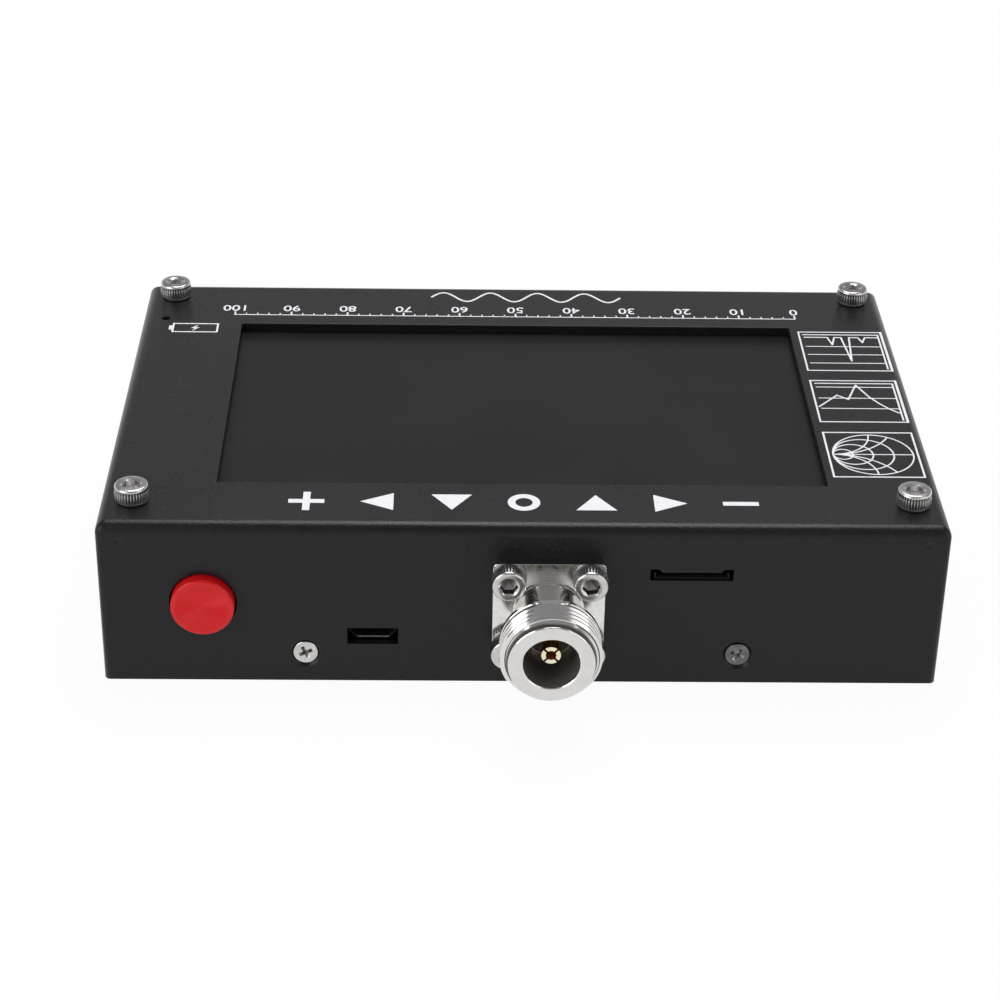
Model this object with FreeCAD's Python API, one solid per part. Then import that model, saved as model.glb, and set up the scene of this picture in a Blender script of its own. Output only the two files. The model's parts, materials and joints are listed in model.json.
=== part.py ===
import FreeCAD, Part
import os
from math import cos, pi, radians, sin, sqrt, tan
from FreeCAD import Vector

# Hand-held antenna analyzer: a folded sheet-metal case with a wide touch screen in its top, a coaxial
# panel jack, a push button, a charging socket and a memory-card slot in its front wall.
# Units are millimetres. +Z is up (the screen faces up), the front wall with the jack faces -Y, and
# the origin is the centre of the case's underside.

# ---------------------------------------------------------------------------------------------
# Driving dimensions
# ---------------------------------------------------------------------------------------------

# Screen: outline of the touch panel and of the display under it
screen_width = 105.5            # along X
screen_length = 67.4            # along Y
screen_side_margin = 4.25       # screen hidden under the cover at each side of the window
screen_front_margin = 2.45      # ... in front of the window
screen_rear_margin = 8.75       # ... behind it
gasket_thickness = 0.45
gasket_setback = 0.6            # the foam starts this far behind the window's edge
touch_thickness = 1.3
display_thickness = 3.4
frame_wall = 0.8                # rim of the display's metal frame
glass_thickness = 1.3
glass_fit = 0.1
window_corner = 0.4
window_rim = 0.2                # softened upper edge of the window

# Case, built round the screen
side_space = 13.5               # from the screen to the side wall's outer face
front_space = 10.95             # from the screen to the front wall's outer face
rear_space = 7.35               # from the screen to the rear wall's outer face
case_height = 28.6              # underside to top face
sheet = 1.2                     # thickness of the folded sheet
bend_radius = 1.85              # outside radius of the folds round the top face
corner_radius = 1.0             # outside radius of the upright corners
plate_gap = 0.2                 # between the bottom plate and the cover's walls
corner_dimple_radius = 1.2      # round mark of the filled relief at each end of the front and rear folds
corner_dimple_depth = 0.22
corner_dimple_inset = 3.45      # from the side wall's outer face
corner_dimple_drop = 2.9        # below the top face

# Boards
controller_thickness = 1.2
radio_thickness = 1.6
board_spacing = 9.55            # between the two boards, the length of the standoffs
board_gap = 0.5                 # board edge to case wall
notch_play = 1.0                # room that a board leaves round what passes its edge

# Metric hardware
m3_thread = 3.0
m3_hole = 3.2
m3_head_width = 5.5
m3_head_height = 3.0
m3_head_chamfer = 0.3
m3_socket_flats = 2.5
m3_socket_depth = 1.3
m3_nut_flats = 5.5
m3_nut_height = 2.4
thread_play = 0.04              # added to a thread's diameter for the hole it runs in
m2_thread = 2.0
m2_head_width = 4.0
m2_screw_length = 5.0
m2_cross_width = 2.2
m2_cross_slot = 0.5
m2_cross_depth = 0.6
dimple_width = 5.1              # countersunk dimple in the wall, at its outer face

# Corner posts: a cap screw through the top, a spacer, the controller board and a standoff
post_inset_x = 5.15             # from the side wall's outer face
front_post_inset = 7.5          # from the front wall's outer face
rear_post_inset = 5.4           # from the rear wall's outer face
post_screw_length = 12.0
spacer_width = 5.0
standoff_flats = 5.0
stud_length = 4.8               # the standoff's stud below the radio board's top
standoff_bore_depth = 5.0
nut_corner_slope = 0.6          # how steeply a nut's corners are chamfered

# Tabs of the bottom plate, with a clinch nut in each
tab_inset = 32.0                # from the side wall's outer face to the tab's middle
tab_width = 12.0
tab_top_gap = 0.9               # below the radio board
tab_relief = 1.0                # slot at each side of a tab's fold
tab_bend_radius = 1.2           # outside radius of a tab's fold
tab_screw_share = 0.52          # height of the screws, as a share of the radio board's height
clinch_shank_width = 3.1
clinch_shank_length = 0.9
clinch_head_width = 4.6
clinch_head_height = 1.5

# Coaxial panel jack
jack_x = 3.95
jack_above_board = 2.65         # its axis above the radio board's top
flange_size = 17.5
flange_thickness = 1.6
flange_corner = 0.8
flange_hole_spacing = 12.7
neck_radius = 5.25
jack_length = 16.3              # the panel's face to the jack's mouth
thread_radius = 7.85
thread_depth = 0.6
thread_pitch = 1.058
thread_turns = 4
thread_crest = 0.14             # flat at the top of a turn
thread_start = 11.42            # the panel's face to the middle of the rearmost turn's crest
thread_end = 14.9               # ... and to the end of the foremost turn
collar_start = 9.7              # the panel's face to the thread's rear collar
collar_length = 1.0
collar_flat_width = 5.2         # flat on top of the collar
nose_radius = 6.65              # the plain ring round the mouth
nose_step_radius = 6.9
nose_length = 0.4
mouth_radius = 4.3
mouth_length = 2.4
mouth_chamfer = 0.25
cavity_radius = 4.1
cavity_floor = 8.0              # the panel's face to the socket's floor
boss_radius = 4.5               # the round boss behind the flange
boss_length = 2.2
boss_play = 0.1
insulator_radius = 3.5
insulator_recess = 0.6          # its front below the socket's floor
tail_radius = 2.1               # the insulator's slim rear end
tail_length = 1.8
insulator_play = 0.02
contact_radius = 1.5
contact_recess = 2.6            # its front behind the mouth
contact_bore_radius = 0.82
contact_bore_depth = 6.0
contact_slot = 0.35
contact_slot_depth = 4.5
contact_slot_turn = 45.0        # degrees
pin_radius = 0.8
pin_reach = 8.5                 # the panel's face to the pin's rear end
flange_screw_length = 6.0
link_size = 1.2                 # strap between the jack's pin and the radio board
link_inset = 1.1                # its middle ahead of the pin's end

# Push button and its switch
button_inset = 16.2             # from the case's left side to the button's axis
button_radius = 5.0
button_proud = 1.7              # out of the front wall when released
button_travel = 1.5
button_hole_play = 0.3
button_body_length = 6.0
button_dish = 0.45              # depth of the cone in its face
button_rim = 0.35               # flat ring left round the cone
button_chamfer = 0.35
button_stem_radius = 2.6
button_stem_length = 2.4
switch_axis_height = 3.0        # above the radio board
switch_width = 7.0
switch_length = 8.0
switch_height = 6.0
switch_wall = 1.0
switch_base_thickness = 0.8
plunger_size = 2.5
plunger_play = 0.08
plunger_head_size = 4.2
plunger_head_length = 1.5
plunger_grip = 3.5              # how far the plunger reaches into the button
stop_gap = 0.3                  # left between moving and fixed ends at full travel
spring_wire = 0.3
spring_width = 2.6
spring_turns = 5
spring_sides = 8                # flats round the wire
spring_seat = 0.02

# Charging socket (micro size), on the radio board's underside
usb_inset = 42.65               # from the case's left side to the socket's middle
usb_slot_width = 8.0
usb_slot_height = 2.95
usb_slot_drop = 1.45            # the slot's middle below the board's underside
usb_width = 7.5
usb_foot_width = 5.2            # the shell is narrower on its far side
usb_height = 2.6
usb_shoulder = 1.3              # height of its upright sides
usb_length = 5.5
usb_wall = 0.25
usb_setback = 0.2               # its mouth behind the wall's inner face
usb_tongue_thickness = 0.6
usb_tongue_width = 3.8
usb_tongue_length = 3.6
usb_root_length = 1.0           # block that carries the tongue at the back of the shell
usb_slope_inset = 0.6           # wall thickness share along the shell's slanted sides

# Memory-card socket, on the controller board's underside
card_offset = 22.25             # from the jack's axis to the socket's middle
card_slot_width = 13.0
card_slot_height = 2.05
card_slot_rise = 0.1            # the slot's top above the board's underside
card_width = 12.2
card_length = 14.0
card_height = 1.8
card_shell = 0.2
card_setback = 0.4              # its mouth behind the wall's outer face
card_gap_height = 0.85
card_gap_width = 11.2
card_gap_length = 10.5
card_lip_width = 9.2            # the base's front lip, narrower than the card's gap
card_lip_slant = 0.7

# Charging light
light_inset_x = 4.15            # from the case's left side
light_inset_y = 14.4            # from the case's rear
light_hole = 1.5
light_radius = 1.5
light_gap = 0.35                # its dome below the cover

# Flat cables from the screen, folded under the controller board
flex_thickness = 0.2
flex_bend = 0.8                 # radius at the middle of the cable
flex_exit = 0.5                 # straight length behind the screen
flex_slot_play = 0.4
display_flex_width = 20.5
display_flex_x = -8.0
display_flex_drop = 1.6         # its start below the display's top
touch_flex_width = 5.0
touch_flex_inset = 18.75        # from the screen's right edge
touch_flex_drop = 0.8           # its start below the touch panel's top
flex_run = 5.0                  # run under the board to its connector
flex_connector_length = 5.0
flex_connector_height = 2.0
flex_connector_margin = 2.8     # the connector is wider than its cable by this at each side
flex_grip = 2.0                 # the cable's end inside the connector

# Board-to-board header
header_x = -30.0
header_gap = 6.6                # from the display's connector to the header's middle
header_columns = 8
header_rows = 2
header_pitch = 2.54
header_base_height = 2.54
header_pin_size = 0.64
header_pin_play = 0.04
header_pin_end_gap = 1.5        # the pins stop this far below the upper board
header_joint_gap = 0.1

# Chips and small parts: width (X), length (Y), height (Z)
processor_size = (14.0, 14.0, 1.4)
processor_place = (8.0, 8.0)
memory_size = (5.3, 5.3, 1.8)
memory_places = ((28.0, 6.0), (28.0, 16.0), (-14.0, -2.0))
crystal_size = (11.0, 4.4, 3.2)
crystal_round = 1.98            # radius of the oval can's ends
controller_crystal_place = (8.0, -8.0)
radio_crystal_place = (20.0, 22.0)
mixer_size = (5.0, 4.0, 1.6)
mixer_pitch = (12.0, 11.0)      # the chips stand in a row of three and a row of two
mixer_row = -7.0                # the front row's place from the can's middle
charger_size = (5.0, 4.0, 1.6)
charger_place = (-26.0, -22.0)
inductor_size = (7.0, 7.0, 3.0)
inductor_place = (-26.0, -12.0)
inductor_round = 1.5
capacitor_radius = 3.1
capacitor_height = 5.4
capacitor_foot = 1.0
capacitor_foot_side = 6.7
capacitor_places = ((-38.0, -14.0), (-38.0, -4.0), (36.0, 24.0))

# Screening can round the measuring bridge
can_width = 36.0
can_length = 25.0
can_height = 4.4
can_wall = 0.3
can_offset = 6.0                # the can's middle to the right of the jack's axis
can_setback = 22.8              # ... and behind the front wall's outer face
lid_play = 0.05
lid_skirt = 1.6
lid_hole_radius = 0.9
lid_hole_pitch = 4.5

# Battery, its tape, plug and lead
battery_left_space = 16.25      # from the case's left side
battery_right_space = 28.25     # from the case's right side
battery_end_space = 12.85       # from the case's front and rear
battery_thickness = 5.4
battery_corner = 2.0
battery_edge = 0.8              # rounded upper and lower edges
tape_thickness = 0.4
tape_inset = 4.0
plug_inset = 16.25              # from the case's right side
plug_pitch = 2.0
plug_width = 5.8
plug_height = 3.4
plug_length = 7.0
plug_insertion = 4.0
socket_width = 7.9
socket_length = 7.6
socket_height = 4.9
socket_y = 0.0                  # mouth of the socket
plug_play = 0.06
lead_radius = 0.6
lead_below_battery_top = 0.9
lead_bend_share = 0.45          # how much of the shorter run the bend takes up
lead_y = -14.0

# ---------------------------------------------------------------------------------------------
# Places that follow from the driving dimensions
# ---------------------------------------------------------------------------------------------

case_width = screen_width + 2 * side_space
case_depth = screen_length + front_space + rear_space
side_x = case_width / 2
front_y = -case_depth / 2
rear_y = case_depth / 2
inner_x = side_x - sheet
inner_front_y = front_y + sheet
inner_rear_y = rear_y - sheet
inner_top_z = case_height - sheet

screen_front_y = front_y + front_space
screen_rear_y = rear_y - rear_space
window_width = screen_width - 2 * screen_side_margin
touch_flex_x = screen_width / 2 - touch_flex_inset
window_front_y = screen_front_y + screen_front_margin
window_rear_y = screen_rear_y - screen_rear_margin
touch_top_z = inner_top_z - gasket_thickness
display_top_z = touch_top_z - touch_thickness
controller_top_z = display_top_z - display_thickness
controller_underside = controller_top_z - controller_thickness
radio_top_z = controller_underside - board_spacing
radio_underside = radio_top_z - radio_thickness

post_x = side_x - post_inset_x
front_post_y = front_y + front_post_inset
rear_post_y = rear_y - rear_post_inset
posts = [(sx * post_x, y) for y in (front_post_y, rear_post_y) for sx in (-1, 1)]

jack_z = radio_top_z + jack_above_board
half_spacing = flange_hole_spacing / 2
flange_holes = [(jack_x + sx * half_spacing, jack_z + sz * half_spacing) for sx in (-1, 1) for sz in (-1, 1)]
pin_end_y = front_y + pin_reach
link_y = pin_end_y - link_inset

button_x = -side_x + button_inset
button_z = radio_top_z + switch_axis_height
button_face_y = front_y - button_proud
button_body_end_y = button_face_y + button_body_length
button_stem_end_y = button_body_end_y + button_stem_length
switch_front_y = button_stem_end_y + button_travel + stop_gap

usb_x = -side_x + usb_inset
usb_mouth_y = inner_front_y + usb_setback
card_x = jack_x + card_offset
card_mouth_y = front_y + card_setback
light_x = -side_x + light_inset_x
light_y = rear_y - light_inset_y

tab_x = side_x - tab_inset
tab_height = radio_underside - tab_top_gap
tab_screw_z = radio_underside * tab_screw_share
tab_face_y = inner_front_y + plate_gap      # outer face of the front tabs; the rear ones mirror it
plate_x = inner_x - plate_gap
tape_top_z = sheet + tape_thickness
battery_top_z = tape_top_z + battery_thickness
battery_width = case_width - battery_left_space - battery_right_space
battery_length = case_depth - 2 * battery_end_space
battery_x = (battery_left_space - battery_right_space) / 2
plug_x = side_x - plug_inset

connector_rear_y = screen_rear_y + flex_exit - flex_run
header_y = connector_rear_y - flex_connector_length - header_gap
can_place = (jack_x + can_offset, front_y + can_setback)


# ---------------------------------------------------------------------------------------------
# Helpers
# ---------------------------------------------------------------------------------------------

edge_tolerance = 1e-3           # slack for picking edges by place


def block(x0, x1, y0, y1, z0, z1):
    """A box between two corners."""
    return Part.makeBox(x1 - x0, y1 - y0, z1 - z0, Vector(x0, y0, z0))


def centred_block(place, size, z0):
    """A box centred on place = (x, y), standing on z0, of size = (width, length, height)."""
    x, y = place
    w, l, h = size
    return block(x - w / 2, x + w / 2, y - l / 2, y + l / 2, z0, z0 + h)


def rod_z(x, y, z0, z1, radius):
    return Part.makeCylinder(radius, z1 - z0, Vector(x, y, z0), Vector(0, 0, 1))


def rod_y(x, z, y0, y1, radius):
    return Part.makeCylinder(radius, y1 - y0, Vector(x, y0, z), Vector(0, 1, 0))


def hexagon(flats, height):
    """A hexagonal prism on the XY plane, with a pair of flats facing +-Y."""
    radius = flats / sqrt(3)
    points = [Vector(radius * cos(i * pi / 3), radius * sin(i * pi / 3), 0) for i in range(7)]
    return Part.Face(Part.makePolygon(points)).extrude(Vector(0, 0, height))


def turned(profile):
    """A solid of revolution about Z from (radius, z) points."""
    points = [Vector(r, 0, z) for r, z in profile]
    face = Part.Face(Part.makePolygon(points + points[:1]))
    return face.revolve(Vector(0, 0, 0), Vector(0, 0, 1), 360)


def facing_front(shape, x, y, z):
    """Lay a shape made along +Z so that +Z points out of the front wall (-Y), and place it."""
    shape.rotate(Vector(0, 0, 0), Vector(1, 0, 0), 90)
    shape.translate(Vector(x, y, z))
    return shape


def facing_rear(shape, x, y, z):
    """Lay a shape made along +Z so that +Z points out of the rear wall (+Y), and place it."""
    shape.rotate(Vector(0, 0, 0), Vector(1, 0, 0), -90)
    shape.translate(Vector(x, y, z))
    return shape


def upright_edges(shape):
    return [e for e in shape.Edges if len(e.Vertexes) == 2
            and abs(e.Vertexes[0].X - e.Vertexes[1].X) < edge_tolerance
            and abs(e.Vertexes[0].Y - e.Vertexes[1].Y) < edge_tolerance]


def edges_at_height(shape, z):
    return [e for e in shape.Edges if all(abs(v.Z - z) < edge_tolerance for v in e.Vertexes)
            and abs(e.BoundBox.ZLength) < edge_tolerance]


def rounded_block(x0, x1, y0, y1, z0, z1, radius):
    """A box with its four upright edges rounded."""
    shape = block(x0, x1, y0, y1, z0, z1)
    return shape.makeFillet(radius, upright_edges(shape))


def tube_along(points, radius, bends):
    """A round wire through points, with straight runs and a tangent arc at each inner point."""
    solids = []
    start = points[0]
    for i in range(1, len(points) - 1):
        before = (points[i] - points[i - 1]).normalize()
        after = (points[i + 1] - points[i]).normalize()
        turn = before.getAngle(after)
        bend = bends[i - 1]
        reach = bend * tan(turn / 2)
        arc_start = points[i] - before * reach
        normal = before.cross(after).normalize()
        centre = arc_start + normal.cross(before) * bend
        solids.append(Part.makeCylinder(radius, (arc_start - start).Length, start, before))
        section = Part.Face(Part.Wire(Part.Circle(arc_start, before, radius).toShape()))
        solids.append(section.revolve(centre, normal, turn * 180 / pi))
        start = points[i] + after * reach
    last = (points[-1] - start)
    solids.append(Part.makeCylinder(radius, last.Length, start, last))
    return solids[0].fuse(solids[1:]).removeSplitter()


def save(name, shapes):
    """Write one node: a single solid, or a group of separate solids."""
    solids = []
    for shape in shapes if isinstance(shapes, list) else [shapes]:
        solids += shape.Solids
    for solid in solids:
        if not solid.isValid() or solid.Volume <= 0:
            raise ValueError(name + " has a bad solid")
    shape = solids[0] if len(solids) == 1 else Part.makeCompound(solids)
    shape.exportStep("parts/" + name + ".step")
    print(name, len(solids), "solids", round(sum(s.Volume for s in solids), 2), "mm3")


# ---------------------------------------------------------------------------------------------
# Shared hardware, made along +Z with the bearing face of the head on z = 0
# ---------------------------------------------------------------------------------------------

def cap_screw(length):
    """M3 socket cap screw: the head above z = 0, the thread below."""
    r = m3_head_width / 2
    c = m3_head_chamfer
    h = m3_head_height
    head = turned([(0, 0), (r, 0), (r, h - c), (r - c, h), (0, h)])
    socket = hexagon(m3_socket_flats, m3_socket_depth)
    socket.translate(Vector(0, 0, h - m3_socket_depth))
    return head.fuse(rod_z(0, 0, -length, 0, m3_thread / 2)).cut(socket).removeSplitter()


def hex_nut(flats, height, thread):
    """A nut on z = 0 with lightly chamfered corners."""
    corner = flats / sqrt(3)
    slope = (corner - flats / 2) * nut_corner_slope
    limit = turned([(0, 0), (corner - slope, 0), (corner, slope), (corner, height - slope),
                    (corner - slope, height), (0, height)])
    return hexagon(flats, height).common(limit).cut(rod_z(0, 0, 0, height, (thread + thread_play) / 2))


def countersink_depth():
    """How far the small screw's head lies below the wall's outer face in its 90 degree dimple."""
    return (dimple_width - m2_head_width) / 2


def countersunk_screw():
    """M2 flat-head screw with a cross recess; z = 0 is the wall's outer face, +Z points outwards."""
    top = -countersink_depth()
    r = m2_head_width / 2
    shank = m2_thread / 2
    body = turned([(0, top), (r, top), (shank, top - (r - shank)), (shank, top - m2_screw_length),
                   (0, top - m2_screw_length)])
    w = m2_cross_width / 2
    s = m2_cross_slot / 2
    cross = block(-w, w, -s, s, top - m2_cross_depth, top)
    cross = cross.fuse(block(-s, s, -w, w, top - m2_cross_depth, top))
    return body.cut(cross)


def dimple():
    """The 90 degree countersink and hole that the small screw leaves in a wall, z = 0 outermost."""
    r = dimple_width / 2
    hole = r - sheet
    return turned([(0, 0), (r, 0), (hole, -sheet), (0, -sheet)])


# ---------------------------------------------------------------------------------------------
# Case
# ---------------------------------------------------------------------------------------------

def cover_shell():
    outer = block(-side_x, side_x, front_y, rear_y, 0, case_height)
    outer = outer.makeFillet(corner_radius, upright_edges(outer))
    outer = outer.makeFillet(bend_radius, edges_at_height(outer, case_height))
    inner = block(-inner_x, inner_x, inner_front_y, inner_rear_y, 0, inner_top_z)
    inner_bend = bend_radius - sheet
    if inner_bend > 0:
        inner = inner.makeFillet(inner_bend, edges_at_height(inner, inner_top_z))
    return outer.cut(inner)


def top_cutters():
    half_w = window_width / 2
    window = rounded_block(-half_w, half_w, window_front_y, window_rear_y,
                           inner_top_z, case_height, window_corner)
    holes = [rod_z(x, y, inner_top_z, case_height, m3_hole / 2) for x, y in posts]
    light = rod_z(light_x, light_y, inner_top_z, case_height, light_hole / 2)
    return [window, light] + holes


def front_cutters():
    button = rod_y(button_x, button_z, front_y, inner_front_y, button_radius + button_hole_play)
    usb_z = radio_underside - usb_slot_drop
    usb = block(usb_x - usb_slot_width / 2, usb_x + usb_slot_width / 2, front_y, inner_front_y,
                usb_z - usb_slot_height / 2, usb_z + usb_slot_height / 2)
    card_top = controller_underside + card_slot_rise
    card = block(card_x - card_slot_width / 2, card_x + card_slot_width / 2, front_y, inner_front_y,
                 card_top - card_slot_height, card_top)
    boss = rod_y(jack_x, jack_z, front_y, inner_front_y, boss_radius + boss_play)
    screws = [rod_y(x, z, front_y, inner_front_y, m3_hole / 2) for x, z in flange_holes]
    return [button, usb, card, boss] + screws


def dimple_cutters():
    cutters = []
    for sx in (-1, 1):
        cutters.append(facing_front(dimple(), sx * tab_x, front_y, tab_screw_z))
        cutters.append(facing_rear(dimple(), sx * tab_x, rear_y, tab_screw_z))
    return cutters


def corner_marks():
    marks = []
    z = case_height - corner_dimple_drop
    lift = corner_dimple_radius - corner_dimple_depth
    for x in (corner_dimple_inset - side_x, side_x - corner_dimple_inset):
        marks.append(Part.makeSphere(corner_dimple_radius, Vector(x, front_y - lift, z)))
        marks.append(Part.makeSphere(corner_dimple_radius, Vector(x, rear_y + lift, z)))
    return marks


def window_edges(cover):
    """The upper edges of the window, all of them inside its outline."""
    half = window_width / 2 + edge_tolerance
    return [e for e in edges_at_height(cover, case_height)
            if all(abs(v.X) < half and window_front_y - edge_tolerance < v.Y < window_rear_y + edge_tolerance
                   for v in e.Vertexes)]


def top_cover():
    cover = cover_shell().cut(top_cutters() + front_cutters() + dimple_cutters() + corner_marks())
    return cover.makeFillet(window_rim, window_edges(cover))


def plate_tab(x):
    """An upturned tab at the front edge of the bottom plate, with its clinch-nut hole."""
    x0, x1 = x - tab_width / 2, x + tab_width / 2
    upright = block(x0, x1, tab_face_y, tab_face_y + sheet, 0, tab_height)
    foot = block(x0, x1, tab_face_y, tab_face_y + 2 * bend_radius, 0, sheet)
    tab = upright.fuse(foot).removeSplitter()
    fold = [e for e in tab.Edges if all(abs(v.Y - tab_face_y) < edge_tolerance and abs(v.Z) < edge_tolerance
                                        for v in e.Vertexes)]
    tab = tab.makeFillet(tab_bend_radius, fold)
    return tab.cut(rod_y(x, tab_screw_z, tab_face_y, tab_face_y + sheet, clinch_shank_width / 2))


def bottom_cover():
    """The bottom plate with two tabs at the front and two at the rear."""
    y = abs(tab_face_y)
    plate = block(-plate_x, plate_x, -y, y, 0, sheet)
    tabs = []
    cuts = []
    for x in (-tab_x, tab_x):
        x0 = x - tab_width / 2
        slot = block(x0 - tab_relief, x0 + tab_width + tab_relief, -y, -y + 2 * bend_radius, 0, sheet)
        front_tab = plate_tab(x)
        rear_tab = front_tab.mirror(Vector(0, 0, 0), Vector(0, 1, 0))
        tabs += [front_tab, rear_tab]
        cuts += [slot, slot.mirror(Vector(0, 0, 0), Vector(0, 1, 0))]
    return plate.cut(cuts).fuse(tabs).removeSplitter()


def clinch_nut():
    """Clinch nut, z = 0 on the tab's inner face, +Z into the case."""
    nut = rod_z(0, 0, -clinch_shank_length, 0, clinch_shank_width / 2)
    nut = nut.fuse(rod_z(0, 0, 0, clinch_head_height, clinch_head_width / 2))
    bore = rod_z(0, 0, -clinch_shank_length, clinch_head_height, (m2_thread + thread_play) / 2)
    return nut.cut(bore).removeSplitter()


def cover_hardware():
    screws = []
    nuts = []
    inner_face = abs(tab_face_y) - sheet
    for x in (-tab_x, tab_x):
        screws.append(facing_front(countersunk_screw(), x, front_y, tab_screw_z))
        screws.append(facing_rear(countersunk_screw(), x, rear_y, tab_screw_z))
        nuts.append(facing_rear(clinch_nut(), x, -inner_face, tab_screw_z))
        nuts.append(facing_front(clinch_nut(), x, inner_face, tab_screw_z))
    return screws, nuts


def save_case():
    screws, nuts = cover_hardware()
    save("top_cover", top_cover())
    save("bottom_cover", bottom_cover())
    save("cover_screws", screws)
    save("clinch_nuts", nuts)


# ---------------------------------------------------------------------------------------------
# Corner posts
# ---------------------------------------------------------------------------------------------

def placed(shape, x, y, z):
    shape.translate(Vector(x, y, z))
    return shape


def standoff():
    """Hexagonal standoff standing on z = 0, with a threaded bore on top and a stud below."""
    length = controller_underside - radio_top_z
    body = hexagon(standoff_flats, length)
    bore = rod_z(0, 0, length - standoff_bore_depth, length, (m3_thread + thread_play) / 2)
    return body.fuse(rod_z(0, 0, -stud_length, 0, m3_thread / 2)).cut(bore).removeSplitter()


def spacer():
    length = inner_top_z - controller_top_z
    return rod_z(0, 0, 0, length, spacer_width / 2).cut(rod_z(0, 0, 0, length, m3_hole / 2))


def save_posts():
    nut_z = radio_underside - m3_nut_height
    save("corner_cap_screws", [placed(cap_screw(post_screw_length), x, y, case_height) for x, y in posts])
    save("corner_spacers", [placed(spacer(), x, y, controller_top_z) for x, y in posts])
    save("hex_standoffs", [placed(standoff(), x, y, radio_top_z) for x, y in posts])
    save("board_nuts", [placed(hex_nut(m3_nut_flats, m3_nut_height, m3_thread), x, y, nut_z)
                        for x, y in posts])


# ---------------------------------------------------------------------------------------------
# Screen
# ---------------------------------------------------------------------------------------------

def screen_block(inset, z0, z1):
    half = screen_width / 2 - inset
    return block(-half, half, screen_front_y + inset, screen_rear_y - inset, z0, z1)


def display_gasket():
    half = window_width / 2 + gasket_setback
    opening = block(-half, half, window_front_y - gasket_setback, window_rear_y + gasket_setback,
                    touch_top_z, inner_top_z)
    return screen_block(0, touch_top_z, inner_top_z).cut(opening)


def display_frame():
    pocket = screen_block(frame_wall, display_top_z - glass_thickness - glass_fit, display_top_z)
    return screen_block(0, controller_top_z, display_top_z).cut(pocket)


def display_glass():
    floor = display_top_z - glass_thickness - glass_fit
    return screen_block(frame_wall + glass_fit, floor, floor + glass_thickness)


def fold(x0, x1, centre_y, centre_z, start_y, start_z, angle):
    """A quarter fold of a flat cable about an axis along X through (centre_y, centre_z)."""
    t = flex_thickness / 2
    radial = Vector(0, start_y - centre_y, start_z - centre_z).normalize()
    a = Vector(x0, start_y, start_z) - radial * t
    b = Vector(x0, start_y, start_z) + radial * t
    width = Vector(x1 - x0, 0, 0)
    face = Part.Face(Part.makePolygon([a, b, b + width, a + width, a]))
    return face.revolve(Vector(0, centre_y, centre_z), Vector(1, 0, 0), angle)


def flat_cable(x, width, start_z):
    """A flat cable from the screen's rear edge, down through the board and forward under it."""
    t = flex_thickness / 2
    r = flex_bend
    x0, x1 = x - width / 2, x + width / 2
    bend_y = screen_rear_y + flex_exit
    drop_y = bend_y + r
    run_z = controller_underside - flex_connector_height / 2
    upper = block(x0, x1, screen_rear_y, bend_y, start_z - t, start_z + t)
    upper_fold = fold(x0, x1, bend_y, start_z - r, bend_y, start_z, -90)
    drop = block(x0, x1, drop_y - t, drop_y + t, run_z + r, start_z - r)
    lower_fold = fold(x0, x1, bend_y, run_z + r, drop_y, run_z + r, -90)
    run_end = connector_rear_y - flex_grip
    run = block(x0, x1, run_end, bend_y, run_z - t, run_z + t)
    return upper.fuse([upper_fold, drop, lower_fold, run]).removeSplitter()


def cable_connector(x, width):
    """The cable's connector under the board, with the slot that the cable's end goes into."""
    half = width / 2 + flex_connector_margin
    rear = connector_rear_y
    z1 = controller_underside
    z0 = z1 - flex_connector_height
    mid = (z0 + z1) / 2
    body = block(x - half, x + half, rear - flex_connector_length, rear, z0, z1)
    mouth = block(x - width / 2 - glass_fit, x + width / 2 + glass_fit, rear - flex_grip - glass_fit, rear,
                  mid - flex_thickness, mid + flex_thickness)
    return body.cut(mouth)


def cable_slot(x, width):
    """The slot in the controller board that a flat cable passes through."""
    drop_y = screen_rear_y + flex_exit + flex_bend
    half = width / 2 + flex_slot_play
    room = flex_thickness / 2 + flex_slot_play
    return block(x - half, x + half, drop_y - room, drop_y + room, controller_underside, controller_top_z)


def save_screen():
    save("display_gasket", display_gasket())
    save("touch_panel", screen_block(0, display_top_z, touch_top_z))
    save("display_glass", display_glass())
    save("display_frame", display_frame())
    save("display_flex", flat_cable(display_flex_x, display_flex_width, display_top_z - display_flex_drop))
    save("display_connector", cable_connector(display_flex_x, display_flex_width))
    save("touch_flex", flat_cable(touch_flex_x, touch_flex_width, touch_top_z - touch_flex_drop))
    save("touch_connector", cable_connector(touch_flex_x, touch_flex_width))


# ---------------------------------------------------------------------------------------------
# Boards
# ---------------------------------------------------------------------------------------------

def board_blank(z0, z1):
    x = inner_x - board_gap
    y0, y1 = inner_front_y + board_gap, inner_rear_y - board_gap
    holes = [rod_z(px, py, z0, z1, m3_hole / 2) for px, py in posts]
    return block(-x, x, y0, y1, z0, z1).cut(holes)


def jack_notch(z0, z1):
    """Room at a board's front edge for the jack's nuts and screw ends."""
    half = half_spacing + m3_nut_flats / sqrt(3) + notch_play
    screw_end = front_y - flange_thickness + flange_screw_length
    return block(jack_x - half, jack_x + half, front_y, screw_end + notch_play / 2, z0, z1)


def button_notch(z0, z1):
    """Room at the radio board's front edge for the moving button."""
    half = button_radius + notch_play
    end = button_body_end_y + button_travel + notch_play / 2
    return block(button_x - half, button_x + half, front_y, end, z0, z1)


def controller_board():
    z0, z1 = controller_underside, controller_top_z
    cuts = [jack_notch(z0, z1), cable_slot(display_flex_x, display_flex_width),
            cable_slot(touch_flex_x, touch_flex_width)]
    return board_blank(z0, z1).cut(cuts)


def radio_board():
    z0, z1 = radio_underside, radio_top_z
    return board_blank(z0, z1).cut([jack_notch(z0, z1), button_notch(z0, z1)])


def hung(place, size, z1):
    """A box under a board: centred on place, with its top on z1."""
    return centred_block(place, size, z1 - size[2])


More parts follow.
